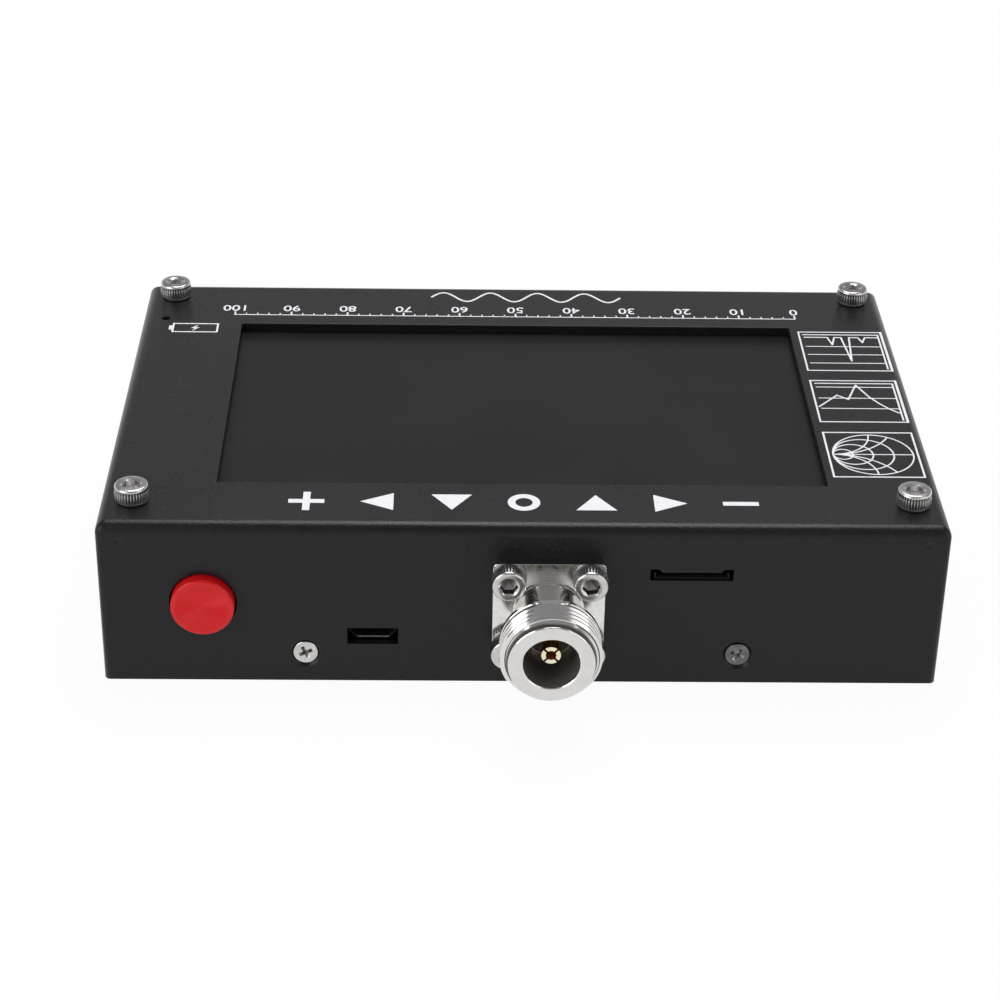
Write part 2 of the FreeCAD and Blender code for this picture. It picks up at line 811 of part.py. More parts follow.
def header_grid():
    x0 = header_x - (header_columns - 1) * header_pitch / 2
    y0 = header_y - (header_rows - 1) * header_pitch / 2
    return [(x0 + i * header_pitch, y0 + j * header_pitch)
            for i in range(header_columns) for j in range(header_rows)]


def save_header():
    """Pins on the radio board, their plastic base, and the socket under the controller board."""
    size = (header_columns * header_pitch, header_rows * header_pitch)
    base_top = radio_top_z + header_base_height
    pin_top = controller_underside - header_pin_end_gap
    socket_z = base_top + header_joint_gap
    pin = (header_pin_size, header_pin_size, pin_top - radio_top_z)
    hole_side = header_pin_size + 2 * header_pin_play
    hole = (hole_side, hole_side, pin_top - radio_top_z + header_joint_gap)
    grid = header_grid()
    holes = [centred_block(p, hole, radio_top_z) for p in grid]
    base = centred_block((header_x, header_y), size + (header_base_height,), radio_top_z)
    socket = centred_block((header_x, header_y), size + (controller_underside - socket_z,), socket_z)
    save("header_pins", [centred_block(p, pin, radio_top_z) for p in grid])
    save("header_base", base.cut(holes))
    save("header_socket", socket.cut(holes))


def mixer_places():
    """Three chips in the front row of the screening can and two between them behind."""
    x, y = can_place
    dx, dy = mixer_pitch
    front = [(x + i * dx, y + mixer_row) for i in (-1, 0, 1)]
    return front + [(x + i * dx / 2, y + mixer_row + dy) for i in (-1, 1)]


def crystal_can(place, z0):
    """A crystal in its flat oval can, standing on z0."""
    w, l, h = crystal_size
    x, y = place
    return rounded_block(x - w / 2, x + w / 2, y - l / 2, y + l / 2, z0, z0 + h, crystal_round)


def charging_light():
    """Round light under its hole, with a domed top."""
    top = inner_top_z - light_gap
    shoulder = top - light_radius
    body = rod_z(light_x, light_y, controller_top_z, shoulder, light_radius)
    return body.fuse(Part.makeSphere(light_radius, Vector(light_x, light_y, shoulder))).removeSplitter()


def power_inductor():
    w, l, h = inductor_size
    x, y = inductor_place
    return rounded_block(x - w / 2, x + w / 2, y - l / 2, y + l / 2, radio_top_z, radio_top_z + h,
                         inductor_round)


def capacitor(place):
    """A can capacitor on its square foot."""
    x, y = place
    foot = centred_block(place, (capacitor_foot_side, capacitor_foot_side, capacitor_foot), radio_top_z)
    can = rod_z(x, y, radio_top_z, radio_top_z + capacitor_height, capacitor_radius)
    return foot.fuse(can).removeSplitter()


def save_boards():
    save("controller_board", controller_board())
    save("radio_board", radio_board())
    save_header()
    save("processor_chip", hung(processor_place, processor_size, controller_underside))
    save("memory_chips", [hung(p, memory_size, controller_underside) for p in memory_places])
    save("controller_crystal",
         crystal_can(controller_crystal_place, controller_underside - crystal_size[2]))
    save("radio_crystal", crystal_can(radio_crystal_place, radio_top_z))
    save("mixer_chips", [centred_block(p, mixer_size, radio_top_z) for p in mixer_places()])
    save("charger_chip", centred_block(charger_place, charger_size, radio_top_z))
    save("power_inductor", power_inductor())
    save("can_capacitors", [capacitor(p) for p in capacitor_places])
    save("charging_light", charging_light())


def screening_fence():
    outer = centred_block(can_place, (can_width, can_length, can_height), radio_top_z)
    inner = centred_block(can_place, (can_width - 2 * can_wall, can_length - 2 * can_wall, can_height),
                          radio_top_z)
    return outer.cut(inner)


def screening_lid():
    """A drawn lid that clips over the fence, with rows of vent holes."""
    x, y = can_place
    w = can_width + 2 * (lid_play + can_wall)
    l = can_length + 2 * (lid_play + can_wall)
    top = radio_top_z + can_height
    outer = centred_block(can_place, (w, l, lid_skirt + can_wall), top - lid_skirt)
    inner = centred_block(can_place, (w - 2 * can_wall, l - 2 * can_wall, lid_skirt), top - lid_skirt)
    columns = int((can_width / 2 - lid_hole_pitch / 2) / lid_hole_pitch)
    rows = int((can_length / 2 - lid_hole_pitch / 2) / lid_hole_pitch)
    holes = [rod_z(x + i * lid_hole_pitch, y + j * lid_hole_pitch, top, top + can_wall, lid_hole_radius)
             for i in range(-columns, columns + 1) for j in range(-rows, rows + 1)]
    return outer.cut(inner).cut(holes)


def save_screening():
    save("screening_fence", screening_fence())
    save("screening_lid", screening_lid())


# ---------------------------------------------------------------------------------------------
# Sockets in the front wall
# ---------------------------------------------------------------------------------------------

def usb_outline(inset):
    """Corner points of the charging socket's mouth, its wide side up against the board."""
    top = radio_underside - inset
    low = radio_underside - usb_height + inset
    shoulder = radio_underside - usb_shoulder
    wide = usb_width / 2 - inset
    narrow = usb_foot_width / 2 - inset * usb_slope_inset
    return [(-wide, top), (wide, top), (wide, shoulder), (narrow, low), (-narrow, low), (-wide, shoulder)]


def usb_prism(inset, y0, y1):
    points = [Vector(usb_x + x, y0, z) for x, z in usb_outline(inset)]
    return Part.Face(Part.makePolygon(points + points[:1])).extrude(Vector(0, y1 - y0, 0))


def save_usb():
    back = usb_mouth_y + usb_length
    shell = usb_prism(0, usb_mouth_y, back).cut(usb_prism(usb_wall, usb_mouth_y, back - usb_wall))
    tongue_top = radio_underside - usb_wall - usb_tongue_thickness
    root = usb_prism(usb_wall, back - usb_wall - usb_root_length, back - usb_wall)
    tongue = block(usb_x - usb_tongue_width / 2, usb_x + usb_tongue_width / 2,
                   back - usb_wall - usb_tongue_length, back - usb_wall,
                   tongue_top - usb_tongue_thickness, tongue_top)
    save("usb_shell", shell)
    save("usb_tongue", root.fuse(tongue).removeSplitter())


def card_socket_base():
    """The card socket's plastic base against the board, with its slanted front lip."""
    z1 = controller_underside
    lip_z = z1 - (card_height - card_shell - card_gap_height)
    z0 = z1 - card_height + card_shell
    half = card_width / 2 - card_shell
    back = card_mouth_y + card_length
    body = block(card_x - half, card_x + half, card_mouth_y, back, z0, z1)
    gap_half = card_gap_width / 2
    gap = block(card_x - gap_half, card_x + gap_half, card_mouth_y, card_mouth_y + card_gap_length, z0, lip_z)
    lip = card_lip_width / 2
    cuts = [gap]
    for s in (-1, 1):
        points = [Vector(card_x + s * lip, card_mouth_y, lip_z),
                  Vector(card_x + s * (lip + card_lip_slant), card_mouth_y, z1),
                  Vector(card_x + s * half, card_mouth_y, z1), Vector(card_x + s * half, card_mouth_y, lip_z)]
        face = Part.Face(Part.makePolygon(points + points[:1]))
        cuts.append(face.extrude(Vector(0, sheet, 0)))
    return body.cut(cuts)


def card_socket_shell():
    """The bent metal shell round the card socket's base: a floor and two sides."""
    z1 = controller_underside
    z0 = z1 - card_height
    half = card_width / 2
    start = card_mouth_y + sheet
    back = card_mouth_y + card_length
    outer = block(card_x - half, card_x + half, start, back, z0, z1)
    inner = block(card_x - half + card_shell, card_x + half - card_shell, start, back, z0 + card_shell, z1)
    floor = block(card_x - half + card_shell, card_x + half - card_shell, card_mouth_y, start,
                  z0, z0 + card_shell)
    return outer.cut(inner).fuse(floor).removeSplitter()


def save_sockets():
    save_usb()
    save("card_socket_base", card_socket_base())
    save("card_socket_shell", card_socket_shell())


# ---------------------------------------------------------------------------------------------
# Coaxial jack: turned shapes are made along +Z with z = 0 on the panel's outer face
# ---------------------------------------------------------------------------------------------

def thread_profile():
    """(radius, z) points along the outside of the thread, from the collar to the nose."""
    collar_end = collar_start + collar_length
    points = [(neck_radius, collar_start), (thread_radius, collar_start), (thread_radius, collar_end)]
    root = thread_radius - thread_depth
    for i in range(thread_turns):
        crest = thread_start + i * thread_pitch
        points += [(root, max(collar_end, crest - thread_pitch) / 2 + crest / 2),
                   (thread_radius, crest - thread_crest / 2)]
        if i < thread_turns - 1:
            points.append((thread_radius, crest + thread_crest / 2))
    points += [(thread_radius, thread_end), (nose_step_radius, jack_length - nose_length),
               (nose_radius, jack_length - nose_length), (nose_radius, jack_length)]
    return points


def jack_body():
    neck_start = flange_thickness
    outside = [(neck_radius, neck_start)] + thread_profile()
    c = mouth_chamfer
    mouth_end = jack_length - mouth_length
    inside = [(mouth_radius + c, jack_length), (mouth_radius, jack_length - c), (mouth_radius, mouth_end),
              (cavity_radius, mouth_end), (cavity_radius, cavity_floor), (insulator_radius, cavity_floor),
              (insulator_radius, neck_start)]
    barrel = turned(outside + inside)
    flat_z = sqrt(thread_radius ** 2 - (collar_flat_width / 2) ** 2)
    flat = block(-thread_radius, thread_radius, flat_z, 2 * thread_radius,
                 collar_start, collar_start + collar_length)
    barrel = barrel.cut(flat)
    half = flange_size / 2
    flange = rounded_block(-half, half, -half, half, 0, flange_thickness, flange_corner)
    boss = rod_z(0, 0, -boss_length, 0, boss_radius)
    plate = flange.fuse(boss).cut(rod_z(0, 0, -boss_length, flange_thickness, insulator_radius))
    holes = [rod_z(sx * half_spacing, sy * half_spacing, 0, flange_thickness, m3_hole / 2)
             for sx in (-1, 1) for sy in (-1, 1)]
    body = plate.cut(holes).fuse(barrel).removeSplitter()
    return facing_front(body, jack_x, front_y, jack_z)


def jack_insulator():
    r = insulator_radius - insulator_play
    hole = pin_radius + insulator_play
    front = cavity_floor - insulator_recess
    shape = turned([(hole, front), (r, front), (r, -boss_length), (tail_radius, -boss_length),
                    (tail_radius, -boss_length - tail_length), (hole, -boss_length - tail_length)])
    return facing_front(shape, jack_x, front_y, jack_z)


def jack_contact():
    front = jack_length - contact_recess
    shoulder = cavity_floor - insulator_recess
    body = turned([(contact_bore_radius, front), (contact_radius, front), (contact_radius, shoulder),
                   (pin_radius, shoulder), (pin_radius, -pin_reach), (0, -pin_reach),
                   (0, front - contact_bore_depth), (contact_bore_radius, front - contact_bore_depth)])
    s = contact_slot / 2
    r = contact_radius
    slots = block(-r, r, -s, s, front - contact_slot_depth, front)
    slots = slots.fuse(block(-s, s, -r, r, front - contact_slot_depth, front))
    slots.rotate(Vector(0, 0, 0), Vector(0, 0, 1), contact_slot_turn)
    return facing_front(body.cut(slots), jack_x, front_y, jack_z)


def antenna_link():
    """A short strap that stands on the radio board under the jack's pin and is cut round it."""
    h = link_size / 2
    post = block(jack_x - h, jack_x + h, link_y - h, link_y + h, radio_top_z, jack_z)
    return post.cut(rod_y(jack_x, jack_z, link_y - h, link_y + h, pin_radius + insulator_play))


def save_jack():
    head_y = front_y - flange_thickness
    save("jack_body", jack_body())
    save("jack_insulator", jack_insulator())
    save("jack_contact", jack_contact())
    save("jack_flange_screws", [facing_front(cap_screw(flange_screw_length), x, head_y, z)
                                for x, z in flange_holes])
    save("jack_nuts", [facing_rear(hex_nut(m3_nut_flats, m3_nut_height, m3_thread), x, inner_front_y, z)
                       for x, z in flange_holes])
    save("antenna_link", antenna_link())


# ---------------------------------------------------------------------------------------------
# Push button and switch
# ---------------------------------------------------------------------------------------------

def power_button():
    """The red cap: a shallow cone in its face, a stem behind, and a square hole for the plunger."""
    r = button_radius
    c = button_chamfer
    rim = r - c - button_rim
    end = -button_body_length
    stem_end = end - button_stem_length
    body = turned([(0, -button_dish), (rim, 0), (r - c, 0), (r, -c), (r, end),
                   (button_stem_radius, end), (button_stem_radius, stem_end), (0, stem_end)])
    body = facing_front(body, button_x, button_face_y, button_z)
    half = plunger_size / 2 + insulator_play
    hole = block(button_x - half, button_x + half, button_stem_end_y - plunger_grip, button_stem_end_y,
                 button_z - half, button_z + half)
    return body.cut(hole)


def chamber_front():
    return switch_front_y + switch_wall


def chamber_rear():
    return switch_front_y + switch_length - switch_wall


def switch_housing():
    """Open-bottomed housing with a square guide for the plunger and a chamber for its head."""
    half = switch_width / 2
    z0 = radio_top_z + switch_base_thickness
    z1 = radio_top_z + switch_height
    body = block(button_x - half, button_x + half, switch_front_y, switch_front_y + switch_length, z0, z1)
    guide = plunger_size / 2 + plunger_play
    room = plunger_head_size / 2 + plunger_play
    hole = block(button_x - guide, button_x + guide, switch_front_y, chamber_front(),
                 button_z - guide, button_z + guide)
    chamber = block(button_x - room, button_x + room, chamber_front(), chamber_rear(),
                    z0, button_z + room)
    return body.cut([hole, chamber])


def switch_base():
    half = switch_width / 2
    return block(button_x - half, button_x + half, switch_front_y, switch_front_y + switch_length,
                 radio_top_z, radio_top_z + switch_base_thickness)


def plunger_head_rear():
    return chamber_front() + plunger_play + plunger_head_length


def switch_plunger():
    half = plunger_size / 2
    head = plunger_head_size / 2
    stem = block(button_x - half, button_x + half, button_stem_end_y - plunger_grip + spring_seat,
                 plunger_head_rear(), button_z - half, button_z + half)
    front = chamber_front() + plunger_play
    stop = block(button_x - head, button_x + head, front, plunger_head_rear(),
                 button_z - head, button_z + head)
    return stem.fuse(stop).removeSplitter()


def switch_spring():
    """The return spring between the plunger's head and the chamber's rear wall."""
    start = plunger_head_rear() + spring_seat + spring_wire / 2
    end = chamber_rear() - spring_seat - spring_wire / 2
    radius = (spring_width - spring_wire) / 2
    height = end - start
    helix = Part.makeHelix(height / spring_turns, height, radius)
    r = spring_wire / 2
    turns = [2 * pi * i / spring_sides for i in range(spring_sides)]
    corners = [Vector(radius + r * cos(a), 0, r * sin(a)) for a in turns]
    section = Part.makePolygon(corners + corners[:1])
    coil = Part.Wire(helix).makePipeShell([section], True, True)
    return facing_rear(coil, button_x, start, button_z)


def save_button():
    save("power_button", power_button())
    save("switch_housing", switch_housing())
    save("switch_base", switch_base())
    save("switch_plunger", switch_plunger())
    save("switch_spring", switch_spring())


# ---------------------------------------------------------------------------------------------
# Battery
# ---------------------------------------------------------------------------------------------

def battery_block(inset, z0, z1):
    w = battery_width / 2 - inset
    l = battery_length / 2 - inset
    return rounded_block(battery_x - w, battery_x + w, -l, l, z0, z1, battery_corner)


def battery_pack():
    pack = battery_block(0, tape_top_z, battery_top_z)
    soft = edges_at_height(pack, battery_top_z) + edges_at_height(pack, tape_top_z)
    return pack.makeFillet(battery_edge, soft)


def plug_z():
    return radio_underside - socket_height / 2


def battery_socket():
    half = socket_width / 2
    z1 = radio_underside
    body = block(plug_x - half, plug_x + half, socket_y, socket_y + socket_length, z1 - socket_height, z1)
    w = plug_width / 2 + plug_play
    h = plug_height / 2 + plug_play
    mouth = block(plug_x - w, plug_x + w, socket_y, socket_y + plug_insertion + plug_play,
                  plug_z() - h, plug_z() + h)
    return body.cut(mouth)


def battery_plug():
    w = plug_width / 2
    h = plug_height / 2
    y1 = socket_y + plug_insertion
    return block(plug_x - w, plug_x + w, y1 - plug_length, y1, plug_z() - h, plug_z() + h)


def battery_lead(side):
    """One wire from the battery's end to the plug; side is +1 or -1."""
    offset = side * plug_pitch / 2
    end_x = battery_x + battery_width / 2
    start = Vector(end_x - plug_pitch / 2, lead_y - offset, battery_top_z - lead_below_battery_top)
    corner = Vector(plug_x + offset, lead_y - offset, plug_z())
    end = Vector(plug_x + offset, socket_y + plug_insertion - plug_length, plug_z())
    runs = ((corner - start).Length, (end - corner).Length)
    turn = (corner - start).getAngle(end - corner)
    bend = lead_bend_share * min(runs) / tan(turn / 2)
    print("battery lead bend radius", round(bend, 2), "mm, wire", 2 * lead_radius, "mm")
    wire = tube_along([start, corner, end], lead_radius, [bend])
    return wire.cut(battery_block(0, tape_top_z, battery_top_z))


def save_battery():
    save("battery_tape", battery_block(tape_inset, sheet, tape_top_z))
    save("battery_pack", battery_pack())
    save("battery_lead_red", battery_lead(1))
    save("battery_lead_black", battery_lead(-1))
    save("battery_plug", battery_plug())
    save("battery_socket", battery_socket())


def main():
    os.makedirs("parts", exist_ok=True)
    save_case()
    save_posts()
    save_screen()
    save_boards()
    save_screening()
    save_sockets()
    save_jack()
    save_button()
    save_battery()


main()
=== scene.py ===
# %% [markdown]
# # Dressing an antenna analyzer for a studio picture
# The solid parts come in as a fixed frame from the CAD model, each already in its place.
# This lesson gives them their looks: painted sheet, plated metal, moulded plastic and printed
# marks. Where the CAD shape is too plain, such as a knurled screw head or a screw thread, a
# finer piece is modelled in the same place and stands for it.

# %% Load the fixed frame
import json
from math import atan2, cos, hypot, pi, radians, sin, sqrt

import bmesh
import bpy
from mathutils import Matrix, Vector


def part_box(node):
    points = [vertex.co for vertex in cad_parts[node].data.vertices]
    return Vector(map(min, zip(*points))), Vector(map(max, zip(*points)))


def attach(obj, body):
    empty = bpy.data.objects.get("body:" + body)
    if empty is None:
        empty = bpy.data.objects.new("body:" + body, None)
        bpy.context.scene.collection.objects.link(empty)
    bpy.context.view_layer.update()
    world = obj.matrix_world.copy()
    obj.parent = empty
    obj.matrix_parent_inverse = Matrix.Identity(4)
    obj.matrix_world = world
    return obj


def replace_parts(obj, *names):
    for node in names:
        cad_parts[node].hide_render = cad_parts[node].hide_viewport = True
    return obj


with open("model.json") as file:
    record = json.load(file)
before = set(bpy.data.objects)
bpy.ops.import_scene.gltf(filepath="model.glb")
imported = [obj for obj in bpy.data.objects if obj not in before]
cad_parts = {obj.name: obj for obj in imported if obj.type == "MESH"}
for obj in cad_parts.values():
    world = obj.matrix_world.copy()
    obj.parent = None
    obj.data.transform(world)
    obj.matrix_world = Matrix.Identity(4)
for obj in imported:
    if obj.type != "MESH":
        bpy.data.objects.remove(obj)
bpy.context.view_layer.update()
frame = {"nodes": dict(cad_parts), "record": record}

scene = bpy.context.scene
MM = 0.001

# %% [markdown]
# ## The camera
# A product picture is usually taken from the front and above, with a long lens so that the
# box keeps its straight lines. The camera is placed by two angles and a small roll, which
# say what it looks along, and a distance. Building the three axes of the camera from the
# angles is surer than aiming it at an empty, because the roll is then exact.

# %% Camera
eye = Vector((-0.012198, -0.378305, 0.229993))
turn, tilt, roll = radians(1.4087), radians(30.3564), radians(1.1136)
ahead = Vector((sin(turn) * cos(tilt), cos(turn) * cos(tilt), -sin(tilt)))
level = Vector((cos(turn), -sin(turn), 0))
above = level.cross(ahead)
right = level * cos(roll) + above * sin(roll)
up = above * cos(roll) - level * sin(roll)
camera_data = bpy.data.cameras.new("studio_camera")
camera_data.sensor_width = 36
camera_data.lens = 36 * 2.5443
camera_data.clip_start = 0.01
camera = bpy.data.objects.new("studio_camera", camera_data)
camera.matrix_world = Matrix.Translation(eye) @ Matrix((right, up, -ahead)).transposed().to_4x4()
scene.collection.objects.link(camera)
scene.camera = camera
print("camera", round(camera_data.lens, 1), "mm lens")

# %% [markdown]
# ## Helpers for modelling
# Every new piece is drawn in millimetres with bmesh operators and shrunk to metres at the
# end. Doubles are merged first and the normals recalculated, because a spin leaves a seam
# and can turn a shape inside out. Smooth shading with sharp edges kept by angle makes a
# turned part round and its shoulders crisp.

# %% Helpers
def tidy(bm):
    bmesh.ops.remove_doubles(bm, verts=bm.verts[:], dist=1e-4)
    bmesh.ops.recalc_face_normals(bm, faces=bm.faces[:])
    return bm


def new_piece(name, bm, materials, body="analyzer", crease=32):
    """Make an object of a bmesh drawn in millimetres, on its CAD body and material slot."""
    bmesh.ops.scale(bm, vec=(MM, MM, MM), verts=bm.verts[:])
    mesh = bpy.data.meshes.new(name)
    bm.to_mesh(mesh)
    bm.free()
    mesh.shade_smooth()
    mesh.set_sharp_from_angle(angle=radians(crease))
    for material in materials if isinstance(materials, list) else [materials]:
        mesh.materials.append(material)
    piece = bpy.data.objects.new(name, mesh)
    scene.collection.objects.link(piece)
    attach(piece, body)
    print(name, len(mesh.polygons), "faces")
    return piece


def turned(profile, steps=96, closed=True):
    """Spin (radius, height) points round Z. A closed profile joins its last point to its first."""
    bm = bmesh.new()
    points = [bm.verts.new((r, 0, z)) for r, z in profile]
    pairs = list(zip(points, points[1:])) + ([(points[-1], points[0])] if closed else [])
    lines = [bm.edges.new(pair) for pair in pairs]
    bmesh.ops.spin(bm, geom=points + lines, cent=(0, 0, 0), axis=(0, 0, 1), dvec=(0, 0, 0),
                   angle=2 * pi, steps=steps, use_merge=True, use_duplicate=False)
    return tidy(bm)


def merged_with(bm, other, matrix=None):
    """Add a copy of another bmesh, moved by a matrix."""
    mesh = bpy.data.meshes.new("part")
    other.to_mesh(mesh)
    if matrix is not None:
        mesh.transform(matrix)
    bm.from_mesh(mesh)
    bpy.data.meshes.remove(mesh)
    return bm


def cut_out(bm, cutter):
    """Take one closed shape out of another with a Boolean modifier."""
    objects = []
    for name, source in (("blank", bm), ("cutter", cutter)):
        mesh = bpy.data.meshes.new(name)
        source.to_mesh(mesh)
        source.free()
        objects.append(bpy.data.objects.new(name, mesh))
        scene.collection.objects.link(objects[-1])
    modifier = objects[0].modifiers.new("cut", "BOOLEAN")
    modifier.operation = "DIFFERENCE"
    modifier.solver = "EXACT"
    modifier.object = objects[1]
    result = bmesh.new()
    result.from_object(objects[0], bpy.context.evaluated_depsgraph_get())
    for item in objects:
        mesh = item.data
        bpy.data.objects.remove(item)
        bpy.data.meshes.remove(mesh)
    return result


def box_between(low, high):
    bm = bmesh.new()
    bmesh.ops.create_cube(bm, size=1)
    size = [b - a for a, b in zip(low, high)]
    bmesh.ops.scale(bm, vec=size, verts=bm.verts[:])
    bmesh.ops.translate(bm, vec=[(a + b) / 2 for a, b in zip(low, high)], verts=bm.verts[:])
    return bm


OUT_OF_FRONT = Matrix.Rotation(pi / 2, 4, "X")      # turns +Z to point out of the front wall
OUT_OF_REAR = Matrix.Rotation(-pi / 2, 4, "X")


def at(x, y, z, way=Matrix.Identity(4), spin=0):
    """A place for a shape made along +Z: spun about its own axis, laid down, then moved."""
    return Matrix.Translation((x, y, z)) @ way @ Matrix.Rotation(radians(spin), 4, "Z")


def centre_of(node):
    low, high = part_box(node)
    return (low + high) / 2 / MM


print("helpers ready")

# %% [markdown]
# ## Shader groups
# An effect that many materials share is built once as a node group. Here they are grain
# (fine bumps and a slow change of tint), streaks (grain pulled out along one direction, as
# on brushed or drawn metal), and smudges (the soft patches where hands and dust change the
# gloss). Each puts out heights between 0 and 1, the first two also a mask for the tint, and
# each material decides how much of them it shows. A few helpers wire the nodes, so that a
# chain of nodes reads like a formula.

# %% Node helpers
def feed(tree, socket, value):
    """Give an input a plain value, or a link from another node's output."""
    if isinstance(value, bpy.types.NodeSocket):
        tree.links.new(value, socket)
    else:
        socket.default_value = value


def object_place(tree):
    return tree.nodes.new("ShaderNodeTexCoord").outputs["Object"]


def noise_node(tree, vector, scale, detail, rough=0.55):
    node = tree.nodes.new("ShaderNodeTexNoise")
    for label, value in (("Vector", vector), ("Scale", scale), ("Detail", detail), ("Roughness", rough)):
        feed(tree, node.inputs[label], value)
    return node.outputs["Fac"]


def spread(tree, value, low, high, start=0.0, end=1.0):
    """Stretch the part of a value between low and high to the range from start to end."""
    node = tree.nodes.new("ShaderNodeMapRange")
    for label, number in (("From Min", low), ("From Max", high), ("To Min", start), ("To Max", end)):
        node.inputs[label].default_value = number
    tree.links.new(value, node.inputs["Value"])
    return node.outputs["Result"]


def reckoned(tree, operation, first, second):
    """The result of a sum on two values."""
    node = tree.nodes.new("ShaderNodeMath")
    node.operation = operation
    feed(tree, node.inputs[0], first)
    feed(tree, node.inputs[1], second)
    return node.outputs["Value"]


def mixed(tree, share, first, second):
    """A colour between two colours."""
    node = tree.nodes.new("ShaderNodeMix")
    node.data_type = "RGBA"
    for label, value in (("Factor", share), ("A", first), ("B", second)):
        feed(tree, node.inputs[label], value)
    return node.outputs["Result"]


def mixed_shaders(tree, share, first, second):
    node = tree.nodes.new("ShaderNodeMixShader")
    for socket, value in zip(node.inputs, (share, first, second)):
        tree.links.new(value, socket)
    return node.outputs["Shader"]


print("node helpers ready")

# %% [markdown]
# The three groups. Each takes its place from the object's own coordinates, so the pattern
# stays on a part when the part moves.

# %% Node groups
def node_group(name, inputs, outputs=("Height", "Mask")):
    group = bpy.data.node_groups.new(name, "ShaderNodeTree")
    for label, value in inputs:
        kind = "NodeSocketVector" if isinstance(value, tuple) else "NodeSocketFloat"
        group.interface.new_socket(label, in_out="INPUT", socket_type=kind).default_value = value
    for label in outputs:
        group.interface.new_socket(label, in_out="OUTPUT", socket_type="NodeSocketFloat")
    return group, group.nodes.new("NodeGroupInput"), group.nodes.new("NodeGroupOutput")


grain, given, out = node_group("Grain", [("Scale", 2000.0), ("Patch Scale", 40.0)])
place = object_place(grain)
fine = noise_node(grain, place, given.outputs["Scale"], 3)
patch = noise_node(grain, place, given.outputs["Patch Scale"], 4)
grain.links.new(spread(grain, fine, 0.3, 0.7), out.inputs["Height"])
grain.links.new(spread(grain, patch, 0.35, 0.65), out.inputs["Mask"])

streaks, given, out = node_group("Streaks", [("Stretch", (1.0, 1.0, 1.0)), ("Scale", 400.0)])
mapping = streaks.nodes.new("ShaderNodeVectorMath")
mapping.operation = "MULTIPLY"
streaks.links.new(object_place(streaks), mapping.inputs[0])
streaks.links.new(given.outputs["Stretch"], mapping.inputs[1])
line = noise_node(streaks, mapping.outputs["Vector"], given.outputs["Scale"], 5, 0.7)
streaks.links.new(spread(streaks, line, 0.3, 0.7), out.inputs["Height"])
streaks.links.new(spread(streaks, line, 0.42, 0.62), out.inputs["Mask"])

smudges, given, out = node_group("Smudges", [("Scale", 25.0)], outputs=("Height",))
cloud = noise_node(smudges, object_place(smudges), given.outputs["Scale"], 6, 0.65)
smudges.links.new(spread(smudges, cloud, 0.3, 0.7), out.inputs["Height"])
print("groups:", [g.name for g in bpy.data.node_groups])

# %% [markdown]
# ## A maker of finishes
# Most finishes here differ only in numbers: two close colours that drift into each other,
# a gloss that changes a little from place to place, and a fine relief. One function wires
# them, and each call gives the finish of one real material. The relief goes through a Bump
# node, so it costs no faces.

# %% Finish maker
FINISHES = {}                                       # by name; a CAD slot finds its finish here


def surface(name, colour, second, gloss, relief=0.1, depth=0.02, texture=grain, metallic=0.0,
            sockets=None, **values):
    """A Principled material. gloss is (lowest, highest) roughness; depth is the relief in mm."""
    material = bpy.data.materials.new(name)
    material.use_nodes = True
    tree = material.node_tree
    shader = tree.nodes["Principled BSDF"]
    shader.inputs["Metallic"].default_value = metallic
    for label, value in (sockets or {}).items():
        shader.inputs[label].default_value = value
    effect, wear = (tree.nodes.new("ShaderNodeGroup") for _ in range(2))
    effect.node_tree, wear.node_tree = texture, smudges
    for label, value in values.items():
        effect.inputs[label.replace("_", " ").title()].default_value = value
    tint = mixed(tree, effect.outputs["Mask"], (*colour, 1), (*second, 1))
    tree.links.new(tint, shader.inputs["Base Color"])
    shine = spread(tree, wear.outputs["Height"], 0.0, 1.0, *gloss)
    tree.links.new(shine, shader.inputs["Roughness"])
    bump = tree.nodes.new("ShaderNodeBump")
    bump.inputs["Strength"].default_value = relief
    bump.inputs["Distance"].default_value = depth * MM
    tree.links.new(effect.outputs["Height"], bump.inputs["Height"])
    tree.links.new(bump.outputs["Normal"], shader.inputs["Normal"])
    FINISHES[name] = material
    return material


print("finish maker ready")

# %% [markdown]
# ## The paint of the case
# The sheet is powder coated: the powder melts into a skin with a fine, slightly pebbled
# surface, so the black looks dark grey and grainy where light grazes it. A noise of about a
# third of a millimetre makes the pebbles, and a second one, a little coarser, lets the
# colour drift between two near blacks. A painted texture would repeat; these don't.

# %% Case paint
surface("case_paint", (0.0071, 0.0069, 0.0078), (0.0104, 0.0101, 0.0113), (0.24, 0.32), relief=0.7,
        depth=0.03, scale=3000.0, patch_scale=1800.0, sockets={"Specular IOR Level": 0.23})
print("paint ready")
